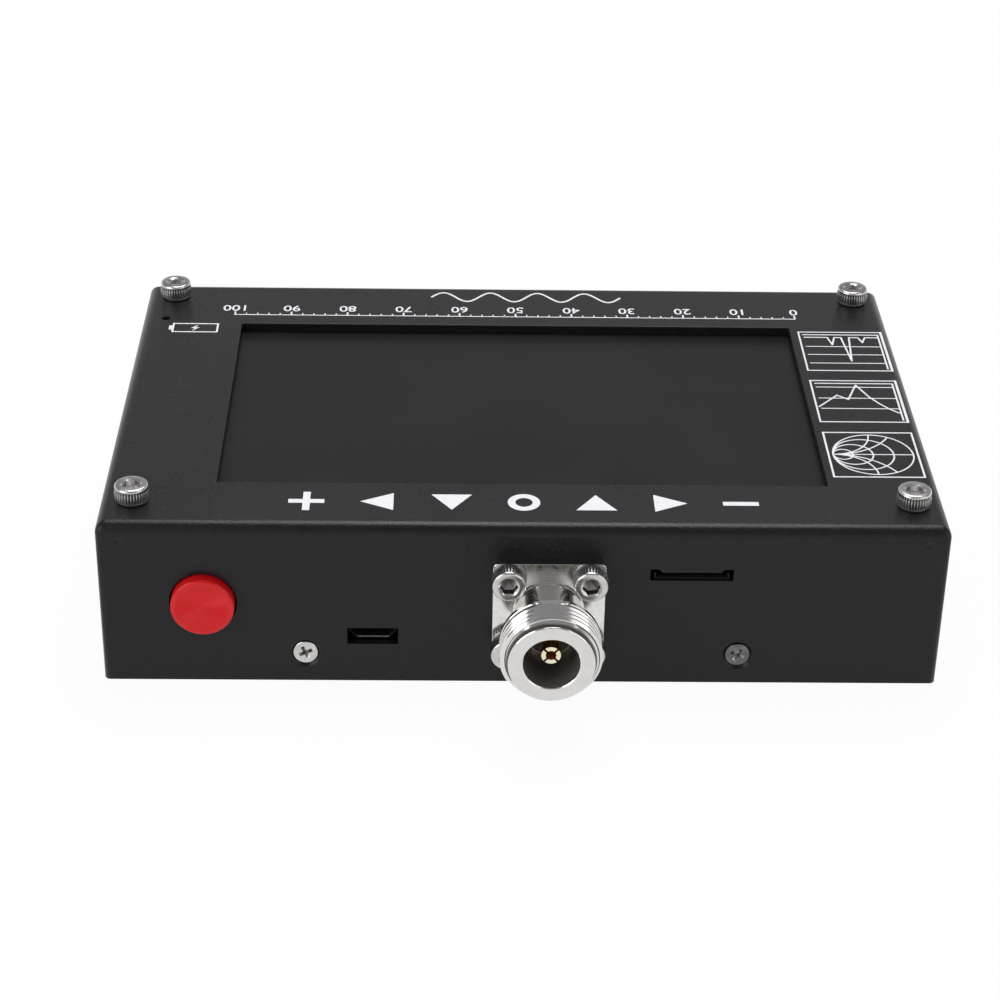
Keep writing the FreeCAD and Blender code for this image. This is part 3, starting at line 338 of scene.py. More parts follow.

# %% [markdown]
# ## Metals
# Bright nickel on the jack is smooth and mirrors the room. The screws are stainless steel,
# whose heads are cold formed and slightly duller. Crests, grooves, tops and sockets of the
# same steel get lit and shaded copies of it. The darker steels in the knurl grooves, the
# socket walls and the knurls of the jack's screws are painted shade, and socket floors
# lighter than their walls are painted light. Gold on the contact is a thin plate, and its
# bore gets a redder gold, a painted glow of light that bounces between its walls. The
# standoffs are brass. A metal gets its colour from Base Color with Metallic at 1, and what
# sets one apart from the next is mostly its roughness and the direction of its streaks.
# Bores and grooves are drawn in a darker metal, painted shade, since little light finds its
# way out of them.

# %% Metals
nickel = surface("nickel", (0.73, 0.715, 0.69), (0.66, 0.645, 0.62), (0.09, 0.17), relief=0.06,
                 depth=0.01, texture=streaks, metallic=1.0, stretch=(1.0, 8.0, 1.0), scale=900.0)
faced_nickel = surface("faced_nickel", (0.7, 0.69, 0.68), (0.65, 0.64, 0.63), (0.3, 0.4),
                       relief=0.2, depth=0.01, metallic=1.0, scale=6000.0, patch_scale=400.0)
# Painted shade: a dark copy of the nickel for the jack's bore, the groove behind its nose and the root of
# its thread.
painted_shade_nickel = surface("painted_shade_nickel", (0.2, 0.188, 0.175), (0.15, 0.14, 0.13), (0.4, 0.52),
                      relief=0.2, depth=0.01, metallic=0.6, scale=3000.0, patch_scale=300.0)
bright_steel = surface("bright_steel", (0.60, 0.59, 0.575), (0.50, 0.49, 0.475), (0.16, 0.28),
                       relief=0.12, depth=0.012, metallic=1.0, scale=3500.0, patch_scale=500.0)
knurl_steel = surface("knurl_steel", (0.52, 0.51, 0.5), (0.43, 0.42, 0.41), (0.25, 0.37),
                      relief=0.2, depth=0.012, metallic=1.0, scale=3500.0, patch_scale=500.0)
# Painted shade: a darker steel for the knurls of the jack's screws, which are the same steel as the corner
# screws.
knurl_shade_steel = surface("knurl_shade_steel", (0.31, 0.305, 0.3), (0.24, 0.235, 0.23), (0.3, 0.42), relief=0.2,
                     depth=0.012, metallic=1.0, scale=3500.0, patch_scale=500.0)
# Painted shade: a near-black steel for the grooves between the knurls.
groove_shade_steel = surface("groove_shade_steel", (0.1, 0.1, 0.1), (0.07, 0.07, 0.07), (0.35, 0.5), relief=0.2,
                       depth=0.012, metallic=1.0, scale=3500.0, patch_scale=500.0)
face_steel = surface("face_steel", (0.43, 0.42, 0.415), (0.34, 0.33, 0.325), (0.22, 0.34),
                     relief=0.3, depth=0.012, metallic=1.0, scale=3500.0, patch_scale=900.0)
socket_steel = surface("socket_steel", (0.52, 0.5, 0.49), (0.42, 0.4, 0.39), (0.24, 0.36),
                       relief=0.2, depth=0.01, metallic=1.0, scale=3000.0, patch_scale=500.0)
lip_steel = surface("lip_steel", (0.62, 0.62, 0.61), (0.52, 0.52, 0.51), (0.4, 0.55), relief=0.2,
                    depth=0.01, metallic=0.8, scale=3000.0, patch_scale=500.0)
dark_steel = surface("dark_steel", (0.16, 0.16, 0.163), (0.11, 0.11, 0.112), (0.24, 0.4),
                     relief=0.25, metallic=1.0, scale=3000.0, patch_scale=700.0)
surface("steel", (0.56, 0.56, 0.56), (0.46, 0.46, 0.465), (0.22, 0.36), depth=0.01, texture=streaks,
        metallic=1.0, stretch=(1.0, 14.0, 14.0), scale=300.0)
pale_gold = surface("pale_gold", (0.85, 0.78, 0.6), (0.78, 0.7, 0.52), (0.2, 0.3), relief=0.05,
                    depth=0.005, metallic=1.0, scale=4000.0, patch_scale=600.0)
# Painted glow: a redder gold for the contact's bore, standing in for light that bounces between its walls.
bounce_glow_gold = surface("bounce_glow_gold", (0.62, 0.2, 0.06), (0.5, 0.15, 0.045), (0.3, 0.4), relief=0.05,
                   depth=0.005, metallic=0.7, scale=4000.0, patch_scale=600.0)
surface("gold", (0.86, 0.62, 0.27), (0.76, 0.52, 0.2), (0.15, 0.26), relief=0.05, depth=0.005,
        metallic=1.0, scale=4000.0, patch_scale=600.0)
surface("brass", (0.74, 0.56, 0.28), (0.62, 0.45, 0.2), (0.22, 0.36), relief=0.12, depth=0.01,
        texture=streaks, metallic=1.0, stretch=(10.0, 10.0, 1.0), scale=250.0)
surface("tinned", (0.74, 0.74, 0.73), (0.62, 0.62, 0.62), (0.2, 0.34), depth=0.01, metallic=1.0,
        scale=900.0, patch_scale=120.0)
surface("can_metal", (0.74, 0.745, 0.75), (0.66, 0.665, 0.67), (0.24, 0.38), depth=0.01,
        texture=streaks, metallic=1.0, stretch=(1.0, 12.0, 1.0), scale=300.0)
surface("spring_steel", (0.5, 0.5, 0.5), (0.38, 0.38, 0.385), (0.2, 0.32), depth=0.005,
        metallic=1.0, scale=3000.0, patch_scale=300.0)
print("metals ready")

# %% [markdown]
# ## Plastics, rubber and film
# Moulded plastic is never one flat colour: its gloss drifts, and a fine mould texture
# breaks up reflections. The red button is glossy on its side, while its dished face keeps
# the fine round marks of turning, which pull the light out to a fan: a radial tangent and a
# high Anisotropic value give that without geometry. The insulator in the jack is given a dark
# grey-brown, painted shade deep in the bore. The screen is a touch film over dark glass, so
# it is nearly black, with a soft sheen.

# %% Plastics and film
red_plastic = surface("red_plastic", (0.66, 0.009, 0.011), (0.61, 0.007, 0.009), (0.16, 0.22),
                      relief=0.04, depth=0.01, scale=1500.0, patch_scale=150.0,
                      sockets={"Specular IOR Level": 0.3})
turned_red = surface("turned_red", (0.67, 0.012, 0.0135), (0.61, 0.0095, 0.011), (0.54, 0.6),
                     relief=0.04, depth=0.01, scale=1500.0, patch_scale=150.0,
                     sockets={"Specular IOR Level": 0.36, "Anisotropic": 0.95})
tree = turned_red.node_tree
round_grain = tree.nodes.new("ShaderNodeTangent")
round_grain.direction_type = "RADIAL"
round_grain.axis = "Y"
tree.links.new(round_grain.outputs["Tangent"], tree.nodes["Principled BSDF"].inputs["Tangent"])
surface("touch_film", (0.0122, 0.0119, 0.013), (0.014, 0.0137, 0.0148), (0.26, 0.33), relief=0.05,
        depth=0.004, scale=9000.0, patch_scale=30.0, sockets={"Specular IOR Level": 0.12})
surface("display_glass", (0.012, 0.012, 0.014), (0.018, 0.018, 0.022), (0.08, 0.14), relief=0.03,
        depth=0.004, scale=5000.0, patch_scale=60.0)
surface("foam", (0.012, 0.012, 0.012), (0.03, 0.03, 0.03), (0.85, 0.95), relief=0.8, depth=0.08,
        scale=2600.0, patch_scale=800.0)
surface("black_plastic", (0.018, 0.018, 0.019), (0.028, 0.028, 0.03), (0.4, 0.55), relief=0.25,
        scale=3500.0, patch_scale=300.0)
surface("grey_plastic", (0.013, 0.013, 0.0135), (0.018, 0.018, 0.019), (0.45, 0.6), relief=0.25,
        scale=3500.0, patch_scale=300.0, sockets={"Specular IOR Level": 0.25})
surface("white_plastic", (0.76, 0.74, 0.68), (0.7, 0.68, 0.61), (0.38, 0.5), relief=0.15,
        depth=0.015, scale=2500.0, patch_scale=200.0)
# Painted shade: the insulator gets a dark grey-brown where PTFE is white, because it sits deep in the bore.
surface("insulator", (0.16, 0.15, 0.14), (0.13, 0.12, 0.11), (0.4, 0.5), depth=0.01, scale=2500.0,
        patch_scale=200.0)
surface("clear_plastic", (0.55, 0.57, 0.56), (0.48, 0.5, 0.49), (0.12, 0.2), relief=0.05,
        depth=0.01, scale=1500.0, patch_scale=200.0, sockets={"Coat Weight": 0.4})
# Painted shade: a near-black finish for the parts of the sockets that sit in the shade behind their slots.
painted_socket_shade = surface("painted_socket_shade", (0.014, 0.014, 0.015), (0.01, 0.01, 0.011), (0.5, 0.65),
                      relief=0.2, depth=0.01, scale=3000.0, patch_scale=400.0,
                      sockets={"Specular IOR Level": 0.1})
surface("chip", (0.022, 0.022, 0.024), (0.034, 0.034, 0.036), (0.5, 0.65), relief=0.35,
        scale=4500.0, patch_scale=500.0)
surface("cable_film", (0.5, 0.22, 0.035), (0.42, 0.17, 0.025), (0.2, 0.3), relief=0.2,
        texture=streaks, stretch=(14.0, 1.0, 1.0), scale=120.0, sockets={"Coat Weight": 0.3})
surface("battery_wrap", (0.42, 0.44, 0.47), (0.36, 0.38, 0.41), (0.2, 0.34), relief=0.4, depth=0.06,
        scale=160.0, patch_scale=60.0, sockets={"Coat Weight": 0.3})
surface("tape", (0.66, 0.63, 0.54), (0.58, 0.55, 0.46), (0.6, 0.8), relief=0.4, depth=0.04,
        scale=1800.0, patch_scale=200.0)
surface("red_wire", (0.48, 0.012, 0.014), (0.4, 0.009, 0.011), (0.32, 0.45), relief=0.2, depth=0.01,
        scale=2500.0, patch_scale=300.0)
surface("black_wire", (0.014, 0.014, 0.015), (0.024, 0.024, 0.025), (0.35, 0.5), relief=0.2,
        depth=0.01, scale=2500.0, patch_scale=300.0)
white_ink = surface("white_ink", (0.80, 0.80, 0.83), (0.72, 0.72, 0.75), (0.45, 0.6), relief=0.5,
                    scale=4200.0, patch_scale=1500.0)
print("plastics ready")

# %% [markdown]
# ## The circuit boards
# A board is glass cloth and resin under a green solder mask, with copper tracks that show
# through as slightly lighter lines. A brick pattern with very thin rows, cut by a noise,
# reads as bundles of tracks without drawing any single one.

# %% Board material
board = surface("board", (0.008, 0.055, 0.022), (0.012, 0.075, 0.03), (0.25, 0.38), relief=0.15,
                depth=0.01, scale=1500.0, patch_scale=90.0, sockets={"Coat Weight": 0.2})
tree = board.node_tree
place = object_place(tree)
tracks = tree.nodes.new("ShaderNodeTexBrick")
for label, value in (("Scale", 260.0), ("Mortar Size", 0.05), ("Brick Width", 3.1), ("Row Height", 0.27)):
    tracks.inputs[label].default_value = value
tracks.inputs["Color1"].default_value = (0, 0, 0, 1)
tracks.inputs["Color2"].default_value = (0.1, 0.1, 0.1, 1)
tracks.inputs["Mortar"].default_value = (1, 1, 1, 1)
tree.links.new(place, tracks.inputs["Vector"])
patches = spread(tree, noise_node(tree, place, 55.0, 1), 0.48, 0.52)
bundles = reckoned(tree, "MULTIPLY", patches, tracks.outputs["Color"])
board_colour = tree.nodes["Principled BSDF"].inputs["Base Color"]
mask_colour = board_colour.links[0].from_socket
tree.links.new(mixed(tree, bundles, mask_colour, (0.03, 0.14, 0.06, 1)), board_colour)
print(board.name)

# %% [markdown]
# ## Finishes on the CAD parts
# The CAD parts whose shapes are right stay as they are, and only change their material.
# Most of them are inside the case, where the boards, the screen's layers and the battery
# sit on each other. Each node's record names its material slot, and the finish of the same
# name goes there.

# %% Give the CAD parts their finishes
SLOTS = {entry["node"]: entry["material_slot"] for entry in frame["record"]["subparts"]}
for node, piece in frame["nodes"].items():
    piece.data.materials.clear()
    piece.data.materials.append(FINISHES[SLOTS[node]])
print(len(SLOTS), "nodes dressed")

# %% [markdown]
# ## Smooth skins over faceted nodes
# A CAD mesh arrives as loose triangles, which can't be shaded smoothly. For the parts that
# are seen, a copy is merged into one skin and shaded by angle: flat walls stay flat, and
# the folds of the sheet and the walls of round holes turn smooth. Paint also rounds every
# cut edge of a sheet, so the copy's square edges get a bevel of 0.04 to 0.15 mm, which is
# what catches the light along the window and the slots. The copy stands for its node in
# the same place.

# %% Smooth skins
def smooth_skin(node, name, soft_edge):
    bm = bmesh.new()
    bm.from_mesh(frame["nodes"][node].data)
    bmesh.ops.scale(bm, vec=(1 / MM,) * 3, verts=bm.verts[:])
    bmesh.ops.remove_doubles(bm, verts=bm.verts[:], dist=1e-3)
    if soft_edge:
        bmesh.ops.dissolve_limit(bm, angle_limit=radians(0.3), verts=bm.verts[:], edges=bm.edges[:])
        square = [e for e in bm.edges if e.is_manifold and e.is_convex
                  and e.calc_face_angle() > radians(60)]
        bmesh.ops.bevel(bm, geom=square, offset=soft_edge, offset_type="OFFSET", segments=3,
                        profile=0.5, affect="EDGES", material=-1, clamp_overlap=True)
    skin = new_piece(name, bm, FINISHES[SLOTS[node]], crease=24)
    for polygon in skin.data.polygons:
        if max(abs(n) for n in polygon.normal) > 0.99999:
            polygon.use_smooth = False
    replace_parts(skin, node)
    return skin


SOFT_EDGES = {"top_cover": 0.15, "bottom_cover": 0.1, "jack_contact": 0.12, "jack_insulator": 0,
              "usb_shell": 0.04, "card_socket_base": 0.05, "charging_light": 0}
skins = {node: smooth_skin(node, node + "_skin", width) for node, width in SOFT_EDGES.items()}

# %% [markdown]
# ## Sockets behind the slots
# A five-sided metal shell takes the charging plug, and a flat socket with a slanted plastic
# lip takes the memory card. Both sit in the shade just behind their slots, where only a lip
# catches the light in front of a dark hollow. The faces are told apart by their place and
# direction: the lip stays light and the rest gets a near-black finish, painted shade that
# needs no new shape.

# %% Sockets behind the slots
usb_skin = skins["usb_shell"]
usb_skin.data.materials.clear()
for material in (painted_socket_shade, lip_steel):
    usb_skin.data.materials.append(material)
lip_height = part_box("usb_shell")[0].z + 0.35 * MM
lip_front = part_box("usb_shell")[0].y + 0.1 * MM
lip_half_width = 2.4 * MM
usb_axis = centre_of("usb_shell").x * MM
# Every face of the shell except the lip gets the painted shade.
for polygon in usb_skin.data.polygons:
    x, y, z = polygon.center
    on_lip = z < lip_height and y < lip_front and abs(x - usb_axis) < lip_half_width
    polygon.material_index = int(on_lip)
frame["nodes"]["card_socket_shell"].data.materials[0] = painted_socket_shade
card_base = skins["card_socket_base"]
card_base.data.materials.append(painted_socket_shade)
lip_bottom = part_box("card_socket_base")[1].z - 0.75 * MM
for polygon in card_base.data.polygons:
    polygon.material_index = int(polygon.normal.y < -0.6 and polygon.center.z < lip_bottom)
print("sockets darkened")

# %% [markdown]
# ## The contact in the jack
# The centre contact is a slotted tube that grips the pin of a plug. Its tips are pale where
# pins rub on them, and its bore is given a redder gold, a painted glow that stands for light
# bouncing between the gold walls many times. The faces at the tip and in the bore get a gold each.

# %% Contact of the jack
contact_skin = skins["jack_contact"]
for material in (pale_gold, bounce_glow_gold):
    contact_skin.data.materials.append(material)
axis = centre_of("jack_contact")
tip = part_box("jack_contact")[0].y / MM
tip_edge, bore_radius, bore_depth = 0.2, 0.95, 6.2
for polygon in contact_skin.data.polygons:
    x, y, z = polygon.center / MM
    if y < tip + tip_edge and polygon.normal.y < -0.4:
        polygon.material_index = 1
    elif hypot(x - axis.x, z - axis.z) < bore_radius and y < tip + bore_depth:
        polygon.material_index = 2
print("contact plated")

# %% [markdown]
# ## Knurled cap screws
# The four screws at the corners and the four that hold the jack are socket cap screws. A
# real head has a plain ring at its foot, straight knurling so that fingers can start it, a
# bright rounded edge, and a countersunk hexagon socket with a pointed floor. The head and
# shank are spun in one profile with four steps to a knurl, and two of every four lines of
# points in the knurled band are then drawn inwards. The socket is cut with a six-sided
# turned shape. Last, the faces are sorted by height and radius, a finish to each kind.

# %% Cap screw
HEAD_RADIUS, HEAD_HEIGHT = 2.75, 3.0
HEX_CORNER = 2.5 / sqrt(3)                          # the socket is 2.5 mm across its flats
BODY, SOCKET_WALL, CREST, TOP, GROOVE, SOCKET_FLOOR = range(6)


def cap_screw(length, socket_depth, knurls=36):
    half_pitch, root, ridge = 0.25, 1.36, 0.14
    thread = [(root + ridge * (i % 2), -length + half_pitch + half_pitch * i)
              for i in range(int((length - 0.5) / half_pitch))]
    foot = [(1.45, -0.12), (1.5, 0), (2.35, 0), (2.5, 0.07), (2.58, 0.22), (2.62, 0.45)]
    band = [(2.7, 0.6), (HEAD_RADIUS, 0.9), (2.745, 1.3), (2.72, 1.7), (2.67, 2.02), (2.57, 2.3)]
    edge = [(2.56, 2.42), (2.63, 2.48), (2.66, 2.58), (2.61, 2.77), (2.5, 2.91), (2.42, 2.97),
            (2.34, HEAD_HEIGHT), (0, HEAD_HEIGHT)]
    bm = turned([(0, -length), (1.15, -length)] + thread + foot + band + edge,
                steps=4 * knurls, closed=False)
    groove, band_low, band_high = 2.47, 0.5, 2.4
    for v in bm.verts:
        r = hypot(v.co.x, v.co.y)
        line = round(atan2(v.co.y, v.co.x) * 2 * knurls / pi)
        if band_low < v.co.z < band_high and r > groove and line % 4 > 1:
            v.co.x, v.co.y = v.co.x * groove / r, v.co.y * groove / r
    above, sunk_to, floor = HEAD_HEIGHT + 1, HEAD_HEIGHT - 0.28, HEAD_HEIGHT - socket_depth
    countersink = turned([(0, sunk_to), (1.25, sunk_to), (1.66, HEAD_HEIGHT), (1.66, above), (0, above)],
                         steps=48, closed=False)
    socket = turned([(0, floor - 1.0), (HEX_CORNER, floor), (HEX_CORNER, above), (0, above)],
                    steps=6, closed=False)
    screw = tidy(cut_out(cut_out(bm, countersink), socket))
    for face in screw.faces:
        middle = face.calc_center_median()
        r = hypot(middle.x, middle.y)
        if band_low < middle.z < HEAD_HEIGHT - 0.3 and r < HEX_CORNER:
            face.material_index = SOCKET_FLOOR if face.normal.z > 0.5 else SOCKET_WALL
        elif band_low < middle.z < band_high and 2.3 < r < 2.56:
            face.material_index = GROOVE
        elif 0.03 < middle.z < 2.42 and r > 2.3:
            face.material_index = CREST
        elif middle.z > HEAD_HEIGHT - 0.01:
            face.material_index = TOP
    return screw


def screw_group(name, node, screw, places, materials):
    bm = bmesh.new()
    for place in places:
        merged_with(bm, screw, place)
    screw.free()
    piece = new_piece(name, bm, materials)
    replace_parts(piece, node)


print("cap screw ready")

# %% [markdown]
# The screws go where the CAD model has them. Each head is turned to an angle of its own, as
# screws end up when they are tightened by hand. The list of finishes follows the order of
# the kinds of face above.

# %% Cap screws
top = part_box("top_cover")[1].z / MM
corner_low, corner_high = (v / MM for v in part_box("corner_cap_screws"))
corners = [(x, y) for x in (corner_low.x + HEAD_RADIUS, corner_high.x - HEAD_RADIUS)
           for y in (corner_low.y + HEAD_RADIUS, corner_high.y - HEAD_RADIUS)]
turns = (12, 38, -9, 21)
# The corner screws' knurl grooves get a near-black steel as painted shade, and their socket floors a steel
# lighter than the walls as painted light.
screw_group("corner_cap_screw_set", "corner_cap_screws", cap_screw(12.0, 1.15),
            [at(x, y, top, spin=a) for (x, y), a in zip(corners, turns)],
            [bright_steel, socket_steel, knurl_steel, face_steel, groove_shade_steel, lip_steel])

jack = centre_of("jack_contact")
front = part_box("top_cover")[0].y / MM
SPACING, THICKNESS = 6.35, 1.6                      # flange: half its hole spacing, and its plate
flange_turns = (0, 9, 24, -14)
# The jack's screws get darker knurls and near-black socket walls compared with the corner screws: painted
# shade.
screw_group("jack_cap_screw_set", "jack_flange_screws", cap_screw(6.0, 1.5),
            [at(jack.x + SPACING * i, front - THICKNESS, jack.z + SPACING * j, OUT_OF_FRONT, a)
             for (i, j), a in zip(((-1, 1), (1, 1), (-1, -1), (1, -1)), flange_turns)],
            [bright_steel, dark_steel, knurl_shade_steel, bright_steel, groove_shade_steel, socket_steel])

# %% [markdown]
# ## The coaxial jack
# A panel jack is turned from brass bar and nickel plated: a square flange with rounded
# corners, a plain neck, a collar with a flat filed on its top, a fine thread and a faced
# ring round the mouth. The body is one spun profile. The thread is a separate tooth, swept
# by a spin whose steps also move forward, which is how a lathe cuts it. It begins low on
# the collar, so that the flat on the collar's top stays free, and its end is trimmed to
# the chamfer at the nose. Heights count from the wall, along the jack's axis.

# %% Thread
CREST_RADIUS, PITCH, THREAD_START = 7.85, 1.058, 10.05


def limit_radius(bm, start, radius, slope):
    """Trim a turned shape to a chamfer that starts at a height and falls by a slope."""
    for v in bm.verts:
        allowed = radius - max(0, v.co.z - start) * slope
        r = hypot(v.co.x, v.co.y)
        if v.co.z > start and r > allowed:
            v.co.x *= allowed / r
            v.co.y *= allowed / r


def thread_tooth(first=0.6, last=4.6, steps=72):
    """One tooth that runs from a first to a last turn, counted from inside the collar."""
    bm = bmesh.new()
    section = [(7.2, -0.44), (7.42, -0.43), (CREST_RADIUS, -0.11), (CREST_RADIUS, 0.11),
               (7.42, 0.43), (7.2, 0.44)]
    points = [bm.verts.new((r, 0, THREAD_START + first * PITCH + z)) for r, z in section]
    lines = [bm.edges.new(pair) for pair in zip(points, points[1:] + points[:1])]
    count = int((last - first) * steps)
    bmesh.ops.contextual_create(bm, geom=points + lines)
    ends = bm.faces[:]
    bmesh.ops.spin(bm, geom=points + lines + ends, cent=(0, 0, 0), axis=(0, 0, 1),
                   dvec=(0, 0, PITCH / steps), angle=2 * pi * count / steps, steps=count,
                   use_merge=False, use_duplicate=False)
    bmesh.ops.rotate(bm, matrix=Matrix.Rotation(2 * pi * first, 3, "Z"), verts=bm.verts[:])
    return tidy(bm)


tooth = thread_tooth()
limit_radius(tooth, 14.75, CREST_RADIUS, 1.4)
print("thread of", len(tooth.faces), "faces")

# %% [markdown]
# The barrel is a tube that goes on behind the wall, where it holds the insulator. The
# flange is a square plate with its corners rounded and its rim broken, bored for the
# barrel and the four screws.

# %% Barrel and flange
JACK_LENGTH, COLLAR_FLAT, FLANGE_HALF = 16.3, 7.4, 8.75
barrel = turned([(3.5, -2.2), (4.5, -2.2), (4.5, 0.5), (5.62, 0.5), (5.62, 1.72), (5.55, 1.82),
                 (5.3, 1.86), (5.25, 1.95), (5.25, 9.55), (5.4, 9.7), (7.75, 9.7), (7.85, 9.8),
                 (7.85, 10.55), (7.72, 10.68), (7.22, 10.72), (7.22, 14.98), (7.0, 15.3),
                 (6.95, 15.38), (6.32, 15.42), (6.3, 15.8), (6.58, 15.83), (6.65, 15.9),
                 (6.65, 16.2), (6.56, JACK_LENGTH), (4.68, JACK_LENGTH), (4.52, 16.25), (4.38, 16.13),
                 (4.3, 15.95), (4.3, 13.9), (4.1, 11.5), (4.1, 8.25), (3.85, 8.0), (3.5, 8.0)], steps=120)
for v in barrel.verts:
    if 9.65 < v.co.z < 10.7 and v.co.y > COLLAR_FLAT:
        v.co.y = COLLAR_FLAT
merged_with(barrel, tooth)
tooth.free()

flange = box_between((-FLANGE_HALF, -FLANGE_HALF, 0), (FLANGE_HALF, FLANGE_HALF, THICKNESS))
corners_up = [e for e in flange.edges if abs(e.verts[0].co.z - e.verts[1].co.z) > 1]
bmesh.ops.bevel(flange, geom=corners_up, offset=0.8, offset_type="OFFSET", segments=6, profile=0.5,
                affect="EDGES", material=-1)
rim = [e for e in flange.edges if all(abs(v.co.z - THICKNESS) < 1e-4 for v in e.verts)]
bmesh.ops.bevel(flange, geom=rim, offset=0.06, offset_type="OFFSET", segments=1, profile=0.5,
                affect="EDGES", material=-1)
holes = bmesh.new()
sides = (-SPACING, SPACING)
for x, y, r in [(0, 0, 4.0)] + [(x, y, 1.6) for y in sides for x in sides]:
    bmesh.ops.create_cone(holes, cap_ends=True, segments=32, radius1=r, radius2=r, depth=6,
                          matrix=Matrix.Translation((x, y, THICKNESS / 2)))
merged_with(barrel, cut_out(flange, holes))
bmesh.ops.transform(barrel, matrix=at(jack.x, front, jack.z, OUT_OF_FRONT), verts=barrel.verts[:])
jack_piece = new_piece("jack_barrel_and_flange", barrel,
                       [nickel, faced_nickel, painted_shade_nickel], crease=16)
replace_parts(jack_piece, "jack_body")

# %% [markdown]
# The face is cut last on the lathe and is duller than the rest. The bore, the groove behind
# the face and the narrow root of the thread see little light, so they get a darker nickel:
# painted shade.

# %% Finishes of the jack
for polygon in jack_piece.data.polygons:
    x, y, z = polygon.center / MM
    height, from_axis = front - y, hypot(x - jack.x, z - jack.z)
    on_face = height > JACK_LENGTH - 0.3 and 4.66 < from_axis < 6.6
    in_bore = height > 8.3 and from_axis < 4.32
    in_groove = 15.36 < height < 15.86 and from_axis < 6.97
    in_root = 10.8 < height < 14.9 and 7.1 < from_axis < 7.35
    if on_face:
        polygon.material_index = 1
    elif in_bore or in_groove or in_root:
        polygon.material_index = 2
print("jack finished")

# %% [markdown]
# ## The push button
# The button is a glossy plastic cap whose turned face is a very shallow cone, with a narrow
# flat rim and a small rounded edge. It is one spun profile, fine enough that its edge stays
# round, with the rim's corners drawn by extra points. A square hole takes the plunger of
# the switch.

# %% Push button
button = centre_of("power_button")
button_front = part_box("power_button")[0].y / MM
DISH_RADIUS, DISH_DEPTH = 4.22, 0.45
cap = turned([(0, -DISH_DEPTH), (2.2, -0.235), (DISH_RADIUS, -0.012), (4.3, 0), (4.62, 0),
              (4.76, -0.04), (4.88, -0.12), (4.96, -0.24), (5.0, -0.38), (5.0, -6.0), (2.6, -6.0),
              (2.6, -8.4), (0, -8.4)], steps=96, closed=False)
hole = box_between((-1.27, -1.27, -9.0), (1.27, 1.27, -4.9))
cap = tidy(cut_out(cap, hole))
for face in cap.faces:
    middle = face.calc_center_median()
    in_dish = middle.z > -DISH_DEPTH - 0.01 and hypot(middle.x, middle.y) < DISH_RADIUS
    face.material_index = int(in_dish)
bmesh.ops.transform(cap, matrix=at(button.x, button_front, button.z, OUT_OF_FRONT), verts=cap.verts[:])
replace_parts(new_piece("power_button_cap", cap, [red_plastic, turned_red], "power_button"),
            "power_button")

# %% [markdown]
# ## The countersunk screws
# Small flat-head screws with a cross recess hold the two halves of the case. The recess is
# cut with a cross whose wings narrow towards the tip of the driver. They are never turned
# to the same angle, and in a real case they rarely come from the same bag, so two of the
# four are brighter.

# %% Countersunk screws
def flat_screw():
    blank = turned([(0, -5.0), (0.8, -5.0), (1.0, -4.8), (1.0, -1.25), (1.93, -0.32), (1.99, -0.2),
                    (1.98, -0.07), (1.9, 0), (0, 0)], steps=64, closed=False)
    first, second = (box_between((-1.22, -0.33, -0.95), (1.22, 0.33, 0.1)) for _ in range(2))
    for wing in (first, second):
        bmesh.ops.scale(wing, vec=(0.34, 0.45, 1), verts=[v for v in wing.verts if v.co.z < 0])
    bmesh.ops.rotate(second, matrix=Matrix.Rotation(pi / 2, 3, "Z"), verts=second.verts[:])
    screw = tidy(cut_out(cut_out(blank, first), second))
    for face in screw.faces:
        middle = face.calc_center_median()
        if -1.0 < middle.z < -0.06 and hypot(middle.x, middle.y) < 1.3:
            face.material_index = 1
    return screw


screw_low, screw_high = (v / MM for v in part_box("cover_screws"))
sunk = 0.33
across = screw_high.x - 2.0
height = (screw_low.z + screw_high.z) / 2 - 0.08
screw = flat_screw()
for name, side, spin, material in (("left", -1, 25, bright_steel), ("right", 1, 64, dark_steel)):
    bm = bmesh.new()
    merged_with(bm, screw, at(side * across, front + sunk, height, OUT_OF_FRONT, spin))
    merged_with(bm, screw, at(side * across, -front - sunk, height, OUT_OF_REAR, spin + 31))
    # The recess gets socket_steel, unlike its head: painted shade in the bright screws' recesses and
    # painted light in the dark screws'.
    screws = new_piece("cover_screws_" + name, bm, [material, socket_steel])
    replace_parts(screws, "cover_screws")
screw.free()

# %% [markdown]
# ## Printed marks
# The white marks are silk-screen ink, a skin some hundredths of a millimetre thick with
# straight, even strokes. Each stroke is a thin bar, each arc a small section spun through
# its angle, and all of one drawing's strokes make one piece. The drawings are the plain
# figures of such instruments: two plots on a grid and the round impedance chart.

# %% Printed strokes
INK, INK_STEP = 0.02, 0.0006
strokes = 0


def ink_height():
    """Each stroke lies a hair higher than the last, so that crossing strokes never share a face."""
    global strokes
    strokes += 1
    return INK + INK_STEP * (strokes % 25)


def bar(bm, x0, y0, x1, y1, width):
    length, height = hypot(x1 - x0, y1 - y0) + width * 0.9, ink_height()
    place = Matrix.Translation(((x0 + x1) / 2, (y0 + y1) / 2, top + height / 2))
    slant = Matrix.Rotation(atan2(y1 - y0, x1 - x0), 4, "Z")
    bmesh.ops.create_cube(bm, size=1, matrix=place @ slant @ Matrix.Diagonal((length, width, height, 1)))


def polyline(bm, points, width):
    for (x0, y0), (x1, y1) in zip(points, points[1:]):
        bar(bm, x0, y0, x1, y1, width)


